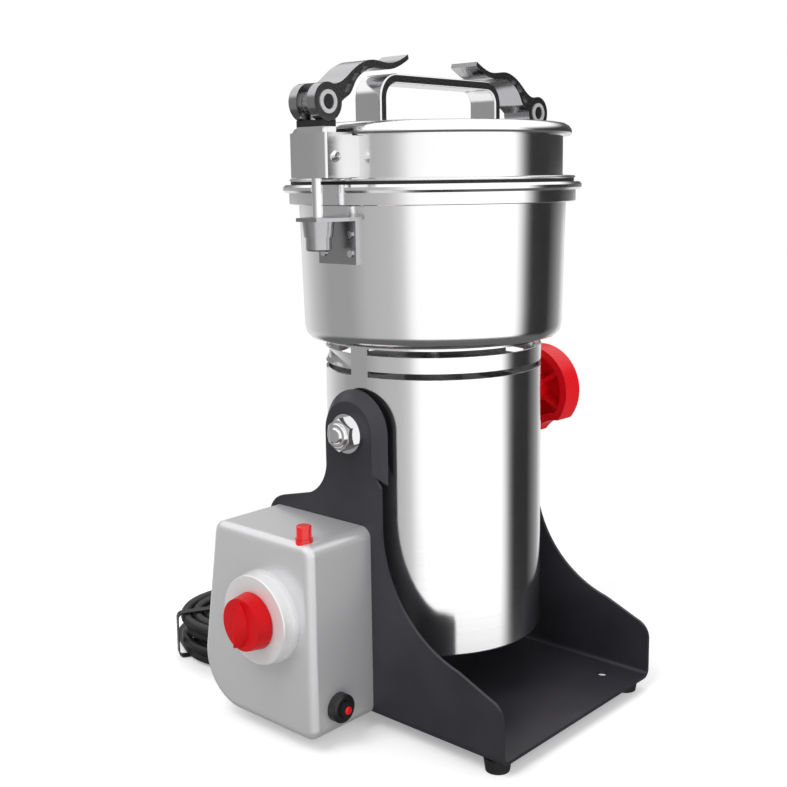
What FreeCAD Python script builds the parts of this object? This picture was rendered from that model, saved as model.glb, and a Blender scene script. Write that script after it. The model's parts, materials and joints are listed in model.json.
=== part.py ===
import FreeCAD, Part
import math
import os

V = FreeCAD.Vector
X_AXIS = V(1, 0, 0)
Y_AXIS = V(0, 1, 0)
Z_AXIS = V(0, 0, 1)
MILL = V(0, 0, 0)

# Electric grain mill with a tilting motor and bowl on a folded bracket.
# Millimetres. X runs across the bracket, -Y is the front, Z is up.
# The shapes are drawn about the mill axis and moved to the origin at the end.

# Feet and bracket
FOOT_HEIGHT = 8.0
FOOT_RADIUS = 8.0
FOOT_INSET = 10.0
FOOT_FRONT_Y = -100.0
FOOT_BACK_Y = 73.0
SHEET = 2.0
HOUSING_ROOM = 10.0
BRACKET_FRONT = -111.0
BRACKET_BACK = 85.0
BASE_BEND = 5.0
FRONT_LIP_TOP = 32.0
ARM_FRONT_Y = -24.5
ARM_BACK_Y = 18.5
BENCH_HOLE_RADIUS = 3.3
BENCH_HOLE_INSET = 19.0
BENCH_HOLE_FRONT_Y = -89.0
BENCH_HOLE_BACK_Y = 61.0
PIVOT_Z = 175.7
EAR_PAD_RADIUS = 18.5
EAR_RIM_RADIUS = 24.5
EAR_DEPTH = 7.0
EAR_PAD_BOTTOM = 154.0
EAR_RIM_BOTTOM = 147.0

# Control box
BOX_DEPTH = 48.4
BOX_WALL = 1.5
BOX_FRONT_Y = -16.3
BOX_TOP_Z = 122.5
BOX_BOTTOM_Z = 8.5
BOX_BACK_TOP_Y = 65.0
BOX_BACK_LOW_Y = 79.0
BOX_BACK_LOW_Z = 42.0
BOX_EDGE = 5.0
BOX_CORNER = 6.5
BOX_BACK_ROUND = 30.0
DIAL_Y = 20.0
DIAL_Z = 75.3
BEZEL_RADIUS = 25.8
BEZEL_STEP_RADIUS = 26.8
BEZEL_STEP = 3.0
BEZEL_DEPTH = 10.0
KNOB_RADIUS = 16.5
KNOB_TOP_RADIUS = 15.0
KNOB_BODY = 9.0
KNOB_DEPTH = 15.0
KNOB_GRIP = 12.0
KNOB_GRIP_REACH = 13.6
KNOB_RIDGE = 1.2
KNOB_RIDGE_REACH = 11.6
KNOB_GAP = 0.3
SPINDLE_RADIUS = 3.0
SPINDLE_CLEARANCE = 0.05
SWITCH_SIZE = 32.0
SWITCH_DEPTH = 22.0
LAMP_INSET = 6.8
LAMP_Y = -5.6
LAMP_RADIUS = 4.3
LAMP_HEIGHT = 9.5
LAMP_COLLAR_RADIUS = 4.9
LAMP_COLLAR = 2.0
LAMP_STEM_RADIUS = 3.0
LAMP_STEM = 9.0
BREAKER_INSET = 19.4
BREAKER_Z = 24.5
BREAKER_RING_RADIUS = 8.3
BREAKER_RING = 6.0
BREAKER_BOSS_RADIUS = 4.8
BREAKER_BOSS = 2.0
BREAKER_BODY_LENGTH = 26.0
BREAKER_BODY_SIZE = 14.0
BUTTON_RADIUS = 2.3
BUTTON_CLEARANCE = 0.1
BUTTON_REACH = 3.0
BUTTON_TRAVEL = 2.0

# Motor housing
TUBE_RADIUS = 66.0
TUBE_WALL = 1.5
TUBE_BOTTOM = 43.5
TUBE_TOP = 225.7
TUBE_EDGE = 3.0
CAP_INSET = 3.0
CAP_THICKNESS = 2.0
CAP_VENT_RADIUS = 3.0
CAP_VENT_CIRCLE = 40.0
SLOT_HEIGHT = 3.7
SLOT_UPPER_Z = 220.0
SLOT_LOWER_Z = 207.2
SLOT_WEB = 13.0
BOSS_RADIUS = 11.0
BOSS_GAP = 0.3
BOLT_RADIUS = 5.0
BOLT_CLEARANCE = 0.05
BOLT_INSET = 8.0
BOLT_END = 1.5
BOLT_DOME = 1.8
WASHER_RADIUS = 11.5
WASHER_THICKNESS = 2.0
WASHER_GAP = 0.1
NUT_ACROSS = 17.0
NUT_THICKNESS = 6.0
NUT_COLLAR_RADIUS = 7.3
NUT_COLLAR = 1.9
LOCK_STUD_REACH = 34.0
WHEEL_NECK = 25.5
WHEEL_DEPTH = 16.0
WHEEL_RADIUS = 30.0
WHEEL_RIM = 5.0
WHEEL_FACE = 4.0
WHEEL_HUB_RADIUS = 10.0
WHEEL_RIBS = 6
WHEEL_RIB = 3.0
WHEEL_SCALLOPS = 2
WHEEL_SCALLOP_RADIUS = 24.0
WHEEL_SCALLOP_AT = 49.0

# Motor
BEARING_RADIUS = 13.0
BEARING_HEIGHT = 9.0
SHAFT_RADIUS = 5.0
SHAFT_CLEARANCE = 0.05
SHAFT_BOTTOM = 52.0
SHAFT_TOP = 286.0
LOWER_BRACKET_Z = 54.0
UPPER_BRACKET_Z = 193.0
BRACKET_PLATE = 4.0
STATOR_RADIUS = 58.0
STATOR_BORE = 36.0
STATOR_BOTTOM = 100.0
STATOR_TOP = 156.0
WINDING_OUTER = 53.0
WINDING_INNER = 39.0
WINDING_HEIGHT = 13.0
CORE_RADIUS = 35.0
COMMUTATOR_RADIUS = 14.0
COMMUTATOR_BOTTOM = 70.0
COMMUTATOR_HEIGHT = 18.0
BRUSH_SIZE = 8.0
BRUSH_GAP = 0.2
BRUSH_LENGTH = 14.0
HOLDER_LENGTH = 20.0
HOLDER_SIZE = 14.0
FAN_RADIUS = 44.0
FAN_BOTTOM = 176.0
FAN_PLATE = 2.0
FAN_HEIGHT = 11.0
FAN_BLADES = 9
FAN_HUB = 10.0

# Bowl
BOWL_BOTTOM = 225.8
BOWL_FOOT_RADIUS = 72.0
BOWL_LOW_RADIUS = 78.2
BOWL_LOW_Z = 233.0
BOWL_TOP_RADIUS = 80.0
BOWL_WALL = 1.6
SKIRT_BOTTOM = 305.6
SKIRT_RADIUS = 85.7
BEAD_RADIUS = 89.2
BEAD_BOTTOM = 312.0
RIM_TOP = 316.5
RIM_INNER = 78.4
BEAD_NOTCH = 13.0
SEAL_RING_RADIUS = 16.0
SEAL_RING_HEIGHT = 6.0
SEAL_HOLE = 12.0

# Blades
LOWER_BLADE_Z = 236.0
LOWER_BLADE_REACH = 66.0
UPPER_BLADE_Z = 262.0
UPPER_BLADE_REACH = 58.0
BLADE_WIDTH = 20.0
BLADE_THICKNESS = 2.5
BLADE_BOSS = 9.0
BLADE_NUT_ACROSS = 17.0
BLADE_NUT_HEIGHT = 10.0

# Lid
SEAL_GAP = 0.15
LID_FLANGE_BOTTOM = 318.4
LID_FLANGE_TOP = 320.0
LID_FLANGE_RADIUS = 85.4
LID_WALL_RADIUS = 78.0
LID_WALL = 1.5
LID_BEAD_BOTTOM = 343.4
LID_BEAD_RADIUS = 83.3
LID_TOP = 350.5
LID_FLAT_RADIUS = 76.0
LINER_RADIUS = 75.0
LINER_BOTTOM = 314.0
LINER_THICKNESS = 1.2
SEAL_OUTER = 84.6
SEAL_INNER = 78.0
HANDLE_HALF = 55.0
HANDLE_HEIGHT = 27.3
HANDLE_WIDTH = 20.0
HANDLE_THICKNESS = 5.5
HANDLE_BEND = 14.0
HANDLE_SCREW_RADIUS = 3.0
HANDLE_SCREW_HEAD = 5.5
HANDLE_SCREW_LENGTH = 9.0

# Latches, one on each side of the lid
LATCH_X = 95.5
LATCH_Z = 360.3
CHANNEL_OUTER_X = 102.0
CHANNEL_HALF = 14.1
CHANNEL_SHEET = 1.5
CHANNEL_BULGE = 1.8
CHANNEL_BOTTOM = 320.2
CHANNEL_TOP = 344.2
BLOCK_INNER_X = 90.2
BLOCK_OUTER_X = 100.3
BLOCK_HALF = 10.0
BLOCK_BOTTOM = 324.0
BLOCK_TOP = 347.4
PAD_TOP = 354.6
PAD_GAP = 0.35
CHANNEL_SCREW_Z = 331.5
CHANNEL_SCREW_RADIUS = 1.7
CHANNEL_SCREW_HEAD = 3.3
ROD_RADIUS = 3.0
ROD_BOTTOM = 282.0
ROD_EYE_RADIUS = 6.0
ROD_EYE_HALF = 3.5
ROD_GAP = 0.2
BARREL_RADIUS = 10.2
LEVER_HALF = 10.0
LEVER_SLOT = 4.0
PIN_RADIUS = 4.0
PIN_CLEARANCE = 0.05
BUSH_RADIUS = 6.2
BUSH_PROUD = 0.6
RECESS_DEPTH = 1.5
RECESSES = ((14.8, 8.3, 48.0), (20.6, 14.4, 45.0), (27.4, 18.8, 33.0))
RECESS_LONG = 6.4
RECESS_SHORT = 3.6
CATCH_X = 79.4
CATCH_PLATE = 2.0
CATCH_HALF = 14.5
CATCH_BOTTOM = 273.0
CATCH_TOP = 299.0
CATCH_SHELF = 2.0
CATCH_REACH = 104.5
CATCH_TIP_HALF = 8.0
CATCH_FLARE = 8.5
CATCH_FLARE_RADIUS = 8.9
CATCH_FLARE_WALL = 0.7
CATCH_FLARE_GAP = 0.1
CATCH_HOLE = 3.4
RIVET_RADIUS = 2.0
RIVET_DOME = 0.9
RIVET_Z = (279.0, 289.5)
RIVET_Y = 10.5
CATCH_NUT_RADIUS = 7.1
CATCH_NUT_TOP = 296.8
CATCH_NUT_BOTTOM = 281.0
CATCH_NUT_BORE = 3.3

# Mains cord, coiled on the floor behind the control box
CORD_RADIUS = 3.5
GLAND_INSET = 36.9
GLAND_Z = 28.8
GLAND_RADIUS = 8.5
GLAND_NECK = 6.0
GLAND_INNER_Y = 66.0
GLAND_FLANGE_Y = 85.0
GLAND_END_Y = 96.0
COIL_X = -46.0
COIL_Y = 133.0
COIL_OUTER = 41.5
COIL_INNER = 26.5
COIL_FLOOR_Z = 4.8
COIL_LAYER = 7.5
COIL_TURNS = 2
COIL_STEP_DEG = 90.0
COIL_END_RISE = 4.5
COIL_TAIL = 30.0
COIL_END_OUT = 17.0
CORD_ENTRY = 7.0
TIE_ANGLE = 152.0
TIE_WIDTH = 6.0
TIE_SHEET = 0.8
TIE_GAP = 0.35
PLUG_NECK = 14.0
PLUG_NECK_RADIUS = 5.2
PLUG_LENGTH = 34.0
PLUG_WIDTH = 27.0
PLUG_HEIGHT = 17.0
PIN_LENGTH = 19.0
PLUG_PIN_RADIUS = 2.4
PLUG_PIN_HALF = 9.3

# Derived places
BRACKET_HALF = TUBE_RADIUS + HOUSING_ROOM
FOOT_INSET_X = BRACKET_HALF - FOOT_INSET
BENCH_HOLE_X = BRACKET_HALF - BENCH_HOLE_INSET
BOX_OUTER_X = -BRACKET_HALF - BOX_DEPTH
LAMP_X = BOX_OUTER_X + LAMP_INSET
BREAKER_X = BOX_OUTER_X + BREAKER_INSET
GLAND_X = BOX_OUTER_X + GLAND_INSET
BOLT_INNER_X = TUBE_RADIUS - BOLT_INSET
BOLT_REACH = BRACKET_HALF + WASHER_GAP + WASHER_THICKNESS + NUT_THICKNESS + NUT_COLLAR + BOLT_END
WHEEL_INNER_X = BRACKET_HALF + WHEEL_NECK
WHEEL_OUTER_X = WHEEL_INNER_X + WHEEL_DEPTH
LOCK_STUD_END = BRACKET_HALF + LOCK_STUD_REACH
HANDLE_TOP = LID_TOP + HANDLE_HEIGHT
PLATE_OUT = BRACKET_HALF
PLATE_IN = BRACKET_HALF - SHEET
BASE_Z = FOOT_HEIGHT
KNOB_REACH = BOX_OUTER_X - BEZEL_DEPTH - KNOB_DEPTH
ORIGIN_X = -(KNOB_REACH + WHEEL_OUTER_X) / 2
ORIGIN_Y = -(BRACKET_FRONT + BEAD_RADIUS) / 2
COIL_TOP_Z = COIL_FLOOR_Z + 3 * COIL_LAYER


def cyl(radius, start, length, axis=Z_AXIS):
    return Part.makeCylinder(radius, length, start, axis)


def tube(outer, inner, start, length, axis=Z_AXIS):
    return cyl(outer, start, length, axis).cut(cyl(inner, start, length, axis))


def block(x0, x1, y0, y1, z0, z1):
    return Part.makeBox(x1 - x0, y1 - y0, z1 - z0, V(x0, y0, z0))


def face_of(points):
    return Part.Face(Part.makePolygon(points + [points[0]]))


def revolved(profile):
    points = [V(r, 0, z) for r, z in profile]
    return face_of(points).revolve(MILL, Z_AXIS, 360)


def arc(a, b, c):
    return Part.Arc(a, b, c).toShape()


def line(a, b):
    return Part.LineSegment(a, b).toShape()


def prism(edges, direction):
    return Part.Face(Part.Wire(edges)).extrude(direction)


def hexagon(across, centre, axis, height):
    radius = across / math.sqrt(3)
    points = []
    for k in range(6):
        t = math.radians(60 * k + 30)
        if axis == "x":
            points.append(centre + V(0, radius * math.cos(t), radius * math.sin(t)))
        else:
            points.append(centre + V(radius * math.cos(t), radius * math.sin(t), 0))
    direction = V(height, 0, 0) if axis == "x" else V(0, 0, height)
    return face_of(points).extrude(direction)


def mirrored_x(shape):
    return shape.mirror(MILL, X_AXIS)


def pair_x(shape):
    return Part.makeCompound([shape, mirrored_x(shape)])


def rounded(radius, flat, start, height, edge):
    # A disc with its far edge rounded, along -X.
    body = cyl(radius, start, height, V(-1, 0, 0))
    far = start.x - height
    edges = [e for e in body.Edges if abs(e.BoundBox.XMin - far) < 0.01 and e.BoundBox.XLength < 0.01]
    return body.makeFillet(edge, edges)


# Bracket
def side_outline():
    def p(y, z):
        return V(-PLATE_OUT - 1, y, z)

    ear_mid = PIVOT_Z + EAR_PAD_RADIUS
    edges = [
        line(p(BRACKET_FRONT, BASE_Z), p(BRACKET_FRONT, FRONT_LIP_TOP)),
        arc(p(BRACKET_FRONT, FRONT_LIP_TOP), p(-109.0, 39.5), p(-102.5, 44.0)),
        line(p(-102.5, 44.0), p(-80.0, 53.4)),
        arc(p(-80.0, 53.4), p(-40.5, 78.5), p(ARM_FRONT_Y, 122.0)),
        line(p(ARM_FRONT_Y, 122.0), p(ARM_FRONT_Y, EAR_RIM_BOTTOM)),
        line(p(ARM_FRONT_Y, EAR_RIM_BOTTOM), p(-EAR_PAD_RADIUS, EAR_PAD_BOTTOM)),
        line(p(-EAR_PAD_RADIUS, EAR_PAD_BOTTOM), p(-EAR_PAD_RADIUS, PIVOT_Z)),
        arc(p(-EAR_PAD_RADIUS, PIVOT_Z), p(0, ear_mid), p(EAR_PAD_RADIUS, PIVOT_Z)),
        line(p(EAR_PAD_RADIUS, PIVOT_Z), p(ARM_BACK_Y, EAR_PAD_BOTTOM)),
        arc(p(ARM_BACK_Y, EAR_PAD_BOTTOM), p(23.5, 142.0), p(35.0, 134.3)),
        line(p(35.0, 134.3), p(57.0, 129.0)),
        arc(p(57.0, 129.0), p(65.4, 124.5), p(70.0, 116.0)),
        line(p(70.0, 116.0), p(BRACKET_BACK - 1.0, 44.0)),
        line(p(BRACKET_BACK - 1.0, 44.0), p(BRACKET_BACK, BASE_Z)),
        line(p(BRACKET_BACK, BASE_Z), p(BRACKET_FRONT, BASE_Z)),
    ]
    return prism(edges, V(2 * PLATE_OUT + 2, 0, 0))


def folded_u():
    top = PIVOT_Z + EAR_RIM_RADIUS + 5

    def half(x, r, bottom):
        y = BRACKET_FRONT - 1
        return [
            line(V(-x, y, top), V(-x, y, bottom + r)),
            arc(V(-x, y, bottom + r), V(-x + r * 0.2929, y, bottom + r * 0.2929), V(-x + r, y, bottom)),
            line(V(-x + r, y, bottom), V(x - r, y, bottom)),
            arc(V(x - r, y, bottom), V(x - r * 0.2929, y, bottom + r * 0.2929), V(x, y, bottom + r)),
            line(V(x, y, bottom + r), V(x, y, top)),
            line(V(x, y, top), V(-x, y, top)),
        ]

    depth = V(0, BRACKET_BACK - BRACKET_FRONT + 2, 0)
    outer = prism(half(PLATE_OUT, BASE_BEND, BASE_Z), depth)
    inner = prism(half(PLATE_IN, BASE_BEND - SHEET, BASE_Z + SHEET), depth)
    return outer.cut(inner)


def ear_wire(x, radius, bottom):
    left = V(x, -radius, bottom)
    right = V(x, radius, bottom)
    return Part.Wire([
        line(right, left),
        line(left, V(x, -radius, PIVOT_Z)),
        arc(V(x, -radius, PIVOT_Z), V(x, 0, PIVOT_Z + radius), V(x, radius, PIVOT_Z)),
        line(V(x, radius, PIVOT_Z), right),
    ])


def ear_skirt():
    # The stamped rim that turns inwards round the ear of the left plate.
    drop = 0.8
    outer = Part.makeLoft([ear_wire(-PLATE_OUT, EAR_PAD_RADIUS, EAR_PAD_BOTTOM),
                           ear_wire(-PLATE_OUT + EAR_DEPTH, EAR_RIM_RADIUS, EAR_RIM_BOTTOM)], True, True)
    inner = Part.makeLoft([ear_wire(-PLATE_IN, EAR_PAD_RADIUS - drop, EAR_PAD_BOTTOM + drop),
                           ear_wire(-PLATE_OUT + EAR_DEPTH, EAR_RIM_RADIUS - 2.6, EAR_RIM_BOTTOM + 2.6)],
                          True, True)
    return outer.cut(inner)


def bracket():
    shape = folded_u().common(side_outline())
    skirt = ear_skirt()
    shape = shape.fuse([skirt, mirrored_x(skirt)])
    bore = cyl(BOLT_RADIUS + BOLT_CLEARANCE, V(-PLATE_OUT - 1, 0, PIVOT_Z), 2 * PLATE_OUT + 2, X_AXIS)
    shape = shape.cut(bore)
    for x in (-BENCH_HOLE_X, BENCH_HOLE_X):
        for y in (BENCH_HOLE_FRONT_Y, BENCH_HOLE_BACK_Y):
            shape = shape.cut(cyl(BENCH_HOLE_RADIUS, V(x, y, BASE_Z - 1), SHEET + 2))
    spindle = cyl(SPINDLE_RADIUS + 5, V(-PLATE_OUT - 1, DIAL_Y, DIAL_Z), SHEET + 2, X_AXIS)
    return shape.cut(spindle).removeSplitter()


def rubber_feet():
    feet = []
    for x in (-FOOT_INSET_X, FOOT_INSET_X):
        for y in (FOOT_FRONT_Y, FOOT_BACK_Y):
            foot = Part.makeCone(FOOT_RADIUS - 1.2, FOOT_RADIUS, FOOT_HEIGHT, V(x, y, 0))
            feet.append(foot)
    return Part.makeCompound(feet)


# Control box
def box_block(x, grow):
    front = BOX_FRONT_Y + grow
    top = BOX_TOP_Z - grow
    low = BOX_BOTTOM_Z + grow
    slope = (BOX_BACK_LOW_Y - BOX_BACK_TOP_Y) / (BOX_TOP_Z - BOX_BACK_LOW_Z)
    back_top = BOX_BACK_TOP_Y - grow + slope * grow
    back_low = BOX_BACK_TOP_Y - grow + slope * (BOX_TOP_Z - low)
    corners = [V(x, front, low), V(x, front, top), V(x, back_top, top), V(x, back_low, low)]
    body = Part.Face(Part.makePolygon(corners + corners[:1])).extrude(V(-PLATE_OUT - BOX_OUTER_X, 0, 0))
    across = [e for e in body.Edges if e.BoundBox.XLength > 10]
    back = [e for e in across if e.BoundBox.YMin > back_low - 0.1]
    rest = [e for e in across if e.BoundBox.YMin < back_low - 0.1]
    body = body.makeFillet(BOX_BACK_ROUND - grow, back)
    rest = [e for e in body.Edges if any(same_edge(e, r) for r in rest)]
    return body.makeFillet(BOX_CORNER - grow, rest)


def same_edge(one, other):
    return one.CenterOfMass.distanceToPoint(other.CenterOfMass) < 0.01


def box_solid():
    body = box_block(BOX_OUTER_X, 0.0)
    near = BOX_OUTER_X
    loop = [e for e in body.Edges if abs(e.BoundBox.XMin - near) < 0.01 and e.BoundBox.XLength < 0.01]
    return body.makeFillet(BOX_EDGE, loop)


def control_box():
    shape = box_solid().cut(box_block(BOX_OUTER_X + BOX_WALL, BOX_WALL))
    shape = shape.cut(cyl(SPINDLE_RADIUS + 1.0, V(BOX_OUTER_X - 1, DIAL_Y, DIAL_Z), BOX_WALL + 2, X_AXIS))
    shape = shape.cut(cyl(LAMP_STEM_RADIUS, V(LAMP_X, LAMP_Y, BOX_TOP_Z - 8), 12))
    shape = shape.cut(cyl(BREAKER_RING_RADIUS - 3, V(BREAKER_X, BOX_FRONT_Y - 1, BREAKER_Z), 8, Y_AXIS))
    shape = shape.cut(cyl(GLAND_NECK, V(GLAND_X, GLAND_INNER_Y, GLAND_Z), 30, Y_AXIS))
    for x, z in ((-112.0, 105.0), (-88.0, 105.0)):
        shape = shape.cut(cyl(1.6, V(x, 50, z), 30, Y_AXIS))
    return shape


def box_screws():
    # Two screws through the back wall, with domed heads.
    screws = []
    run = (BOX_TOP_Z - 105.0) / (BOX_TOP_Z - BOX_BACK_LOW_Z)
    wall_y = BOX_BACK_TOP_Y + run * (BOX_BACK_LOW_Y - BOX_BACK_TOP_Y)
    for x in (-112.0, -88.0):
        head = Part.makeCone(3.4, 2.4, 2.2, V(x, wall_y + 0.8, 105.0), Y_AXIS)
        stem = cyl(1.6, V(x, wall_y - 8, 105.0), 9, Y_AXIS)
        screws.append(head.fuse(stem).cut(box_solid().cut(cyl(1.6, V(x, 40, 105.0), 40, Y_AXIS))))
    return Part.makeCompound(screws)


def dial_bezel():
    centre = V(BOX_OUTER_X, DIAL_Y, DIAL_Z)
    step = cyl(BEZEL_STEP_RADIUS, centre, BEZEL_STEP, V(-1, 0, 0))
    disc = rounded(BEZEL_RADIUS, 0, centre, BEZEL_DEPTH, 0.8)
    shape = step.fuse(disc)
    bore = cyl(SPINDLE_RADIUS + SPINDLE_CLEARANCE, centre + V(1, 0, 0), BEZEL_DEPTH + 2, V(-1, 0, 0))
    return shape.cut(bore).removeSplitter()


def timer_switch():
    x = BOX_OUTER_X + BOX_WALL
    half = SWITCH_SIZE / 2
    body = block(x, x + SWITCH_DEPTH, DIAL_Y - half, DIAL_Y + half, DIAL_Z - half, DIAL_Z + half)
    return body.cut(cyl(SPINDLE_RADIUS + SPINDLE_CLEARANCE, V(x - 1, DIAL_Y, DIAL_Z), 13, X_AXIS))


def timer_knob():
    base_x = BOX_OUTER_X - BEZEL_DEPTH - KNOB_GAP
    centre = V(base_x, DIAL_Y, DIAL_Z)
    body = Part.makeCone(KNOB_RADIUS, KNOB_TOP_RADIUS, KNOB_BODY, centre, V(-1, 0, 0))
    length = KNOB_DEPTH - KNOB_GAP

    def lens(x, reach, half):
        def p(y, z):
            return centre + V(x, y, z)
        return Part.Wire([
            arc(p(0, -reach), p(half, 0), p(0, reach)),
            arc(p(0, reach), p(-half, 0), p(0, -reach)),
        ])

    low = lens(-KNOB_BODY + 1, KNOB_GRIP_REACH, KNOB_GRIP / 2)
    ridge = lens(-length, KNOB_RIDGE_REACH, KNOB_RIDGE / 2)
    grip = Part.makeLoft([low, ridge], True, True)
    bore = cyl(SPINDLE_RADIUS, centre + V(1, 0, 0), KNOB_BODY + 1, V(-1, 0, 0))
    return body.fuse(grip).cut(bore).removeSplitter()


def timer_spindle():
    inner = BOX_OUTER_X + BOX_WALL + 10
    outer = BOX_OUTER_X - BEZEL_DEPTH - KNOB_GAP - KNOB_BODY
    return cyl(SPINDLE_RADIUS, V(outer, DIAL_Y, DIAL_Z), inner - outer, X_AXIS)


def indicator_lamp():
    base = V(LAMP_X, LAMP_Y, BOX_TOP_Z)
    collar = cyl(LAMP_COLLAR_RADIUS, base - V(0, 0, 1.2), LAMP_COLLAR + 1.2)
    collar = collar.cut(box_solid())
    cap = cyl(LAMP_RADIUS, base + V(0, 0, LAMP_COLLAR), LAMP_HEIGHT - LAMP_COLLAR)
    cap = cap.makeFillet(0.9, [e for e in cap.Edges if e.BoundBox.ZMin > BOX_TOP_Z + LAMP_HEIGHT - 0.1])
    stem = cyl(LAMP_STEM_RADIUS, base - V(0, 0, LAMP_STEM), LAMP_STEM + 1)
    return cap.fuse([collar, stem]).removeSplitter()


def breaker_body():
    half = BREAKER_BODY_SIZE / 2
    y = BOX_FRONT_Y + BOX_WALL
    neck = cyl(BREAKER_RING_RADIUS - 3, V(BREAKER_X, BOX_FRONT_Y - 2, BREAKER_Z), 4, Y_AXIS)
    body = block(BREAKER_X - half, BREAKER_X + half, y, y + BREAKER_BODY_LENGTH,
                 BREAKER_Z - half, BREAKER_Z + half)
    bore = cyl(BUTTON_RADIUS + BUTTON_CLEARANCE, V(BREAKER_X, BOX_FRONT_Y - 3, BREAKER_Z), 16, Y_AXIS)
    return body.fuse(neck).cut(bore).removeSplitter()


def breaker_ring():
    start = V(BREAKER_X, BOX_FRONT_Y - BREAKER_RING, BREAKER_Z)
    ring = cyl(BREAKER_RING_RADIUS, start, BREAKER_RING, Y_AXIS)
    front = [e for e in ring.Edges if abs(e.BoundBox.YMax - start.y) < 0.01]
    ring = ring.makeFillet(1.6, front)
    ring = ring.fuse(cyl(BREAKER_BOSS_RADIUS, start - V(0, BREAKER_BOSS, 0), BREAKER_BOSS + 1, Y_AXIS))
    bore_start = start - V(0, BREAKER_BOSS + 1, 0)
    ring = ring.cut(cyl(BUTTON_RADIUS + BUTTON_CLEARANCE, bore_start, BREAKER_RING + BREAKER_BOSS + 2, Y_AXIS))
    return ring.cut(cyl(BREAKER_RING_RADIUS - 3, start + V(0, BREAKER_RING - 2, 0), 4, Y_AXIS))


def reset_button():
    start = BOX_FRONT_Y - BREAKER_RING - BUTTON_REACH
    length = BREAKER_RING + BUTTON_REACH + 8
    stem = cyl(BUTTON_RADIUS, V(BREAKER_X, start, BREAKER_Z), length, Y_AXIS)
    front = [e for e in stem.Edges if abs(e.BoundBox.YMax - start) < 0.01]
    return stem.makeFillet(0.6, front)


# Tilting housing and its pivot
def slot(z):
    ring = tube(TUBE_RADIUS + 1, TUBE_RADIUS - TUBE_WALL - 1, V(0, 0, z), SLOT_HEIGHT)
    return ring.cut(block(-90, 90, -SLOT_WEB / 2, SLOT_WEB / 2, z - 1, z + SLOT_HEIGHT + 1))


def motor_housing():
    low = TUBE_BOTTOM
    inner = TUBE_RADIUS - TUBE_WALL
    shape = tube(TUBE_RADIUS, inner, V(0, 0, low), TUBE_TOP - low)
    edges = [e for e in shape.Edges if e.BoundBox.ZMax < low + 0.01 and e.BoundBox.XMax > TUBE_RADIUS - 0.1]
    shape = shape.makeFillet(1.2, edges)
    shape = shape.cut([slot(SLOT_UPPER_Z), slot(SLOT_LOWER_Z)])
    bolt = cyl(BOLT_RADIUS, V(-TUBE_RADIUS - 5, 0, PIVOT_Z), 2 * TUBE_RADIUS + 10, X_AXIS)
    return shape.cut(bolt)


def housing_base():
    z = TUBE_BOTTOM + CAP_INSET
    disc = cyl(TUBE_RADIUS - TUBE_WALL, V(0, 0, z), CAP_THICKNESS)
    for k in range(12):
        t = math.radians(30 * k)
        for circle in (CAP_VENT_CIRCLE, CAP_VENT_CIRCLE - 14):
            at = V(circle * math.cos(t), circle * math.sin(t), z - 1)
            disc = disc.cut(cyl(CAP_VENT_RADIUS, at, CAP_THICKNESS + 2))
    return disc


def pivot_bosses():
    length = PLATE_IN - BOSS_GAP - TUBE_RADIUS + 8
    boss = cyl(BOSS_RADIUS, V(-PLATE_IN + BOSS_GAP, 0, PIVOT_Z), length, X_AXIS)
    boss = boss.cut(cyl(TUBE_RADIUS, V(0, 0, PIVOT_Z - 30), 60))
    boss = boss.cut(cyl(BOLT_RADIUS, V(-PLATE_OUT, 0, PIVOT_Z), 30, X_AXIS))
    return pair_x(boss)


def pivot_bolt():
    bolt = cyl(BOLT_RADIUS, V(-BOLT_REACH, 0, PIVOT_Z), BOLT_REACH - BOLT_INNER_X, X_AXIS)
    return bolt.makeFillet(BOLT_DOME, [e for e in bolt.Edges if e.BoundBox.XMax < -BOLT_REACH + 0.01])


def pivot_washer():
    start = V(-PLATE_OUT - WASHER_GAP - WASHER_THICKNESS, 0, PIVOT_Z)
    return tube(WASHER_RADIUS, BOLT_RADIUS, start, WASHER_THICKNESS, X_AXIS)


def pivot_nut():
    outer = -PLATE_OUT - WASHER_GAP - WASHER_THICKNESS - NUT_THICKNESS
    nut = hexagon(NUT_ACROSS, V(outer, 0, PIVOT_Z), "x", NUT_THICKNESS)
    rise = NUT_ACROSS * 0.2
    low = NUT_ACROSS / 2 - 0.2
    run = rise * 0.577
    cone = Part.makeCone(low, low + rise, run, V(outer, 0, PIVOT_Z), X_AXIS)
    back = cyl(low + rise, V(outer + run, 0, PIVOT_Z), NUT_THICKNESS, X_AXIS)
    nut = nut.common(cone.fuse(back))
    collar = cyl(NUT_COLLAR_RADIUS, V(outer - NUT_COLLAR, 0, PIVOT_Z), NUT_COLLAR + 0.5, X_AXIS)
    collar = collar.makeFillet(1.2, [e for e in collar.Edges if e.BoundBox.XMax < outer - NUT_COLLAR + 0.01])
    bore = cyl(BOLT_RADIUS, V(outer - NUT_COLLAR - 1, 0, PIVOT_Z), NUT_THICKNESS + NUT_COLLAR + 2, X_AXIS)
    return nut.fuse(collar).cut(bore)


def lock_stud():
    return cyl(BOLT_RADIUS, V(BOLT_INNER_X, 0, PIVOT_Z), LOCK_STUD_END - BOLT_INNER_X, X_AXIS)


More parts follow.
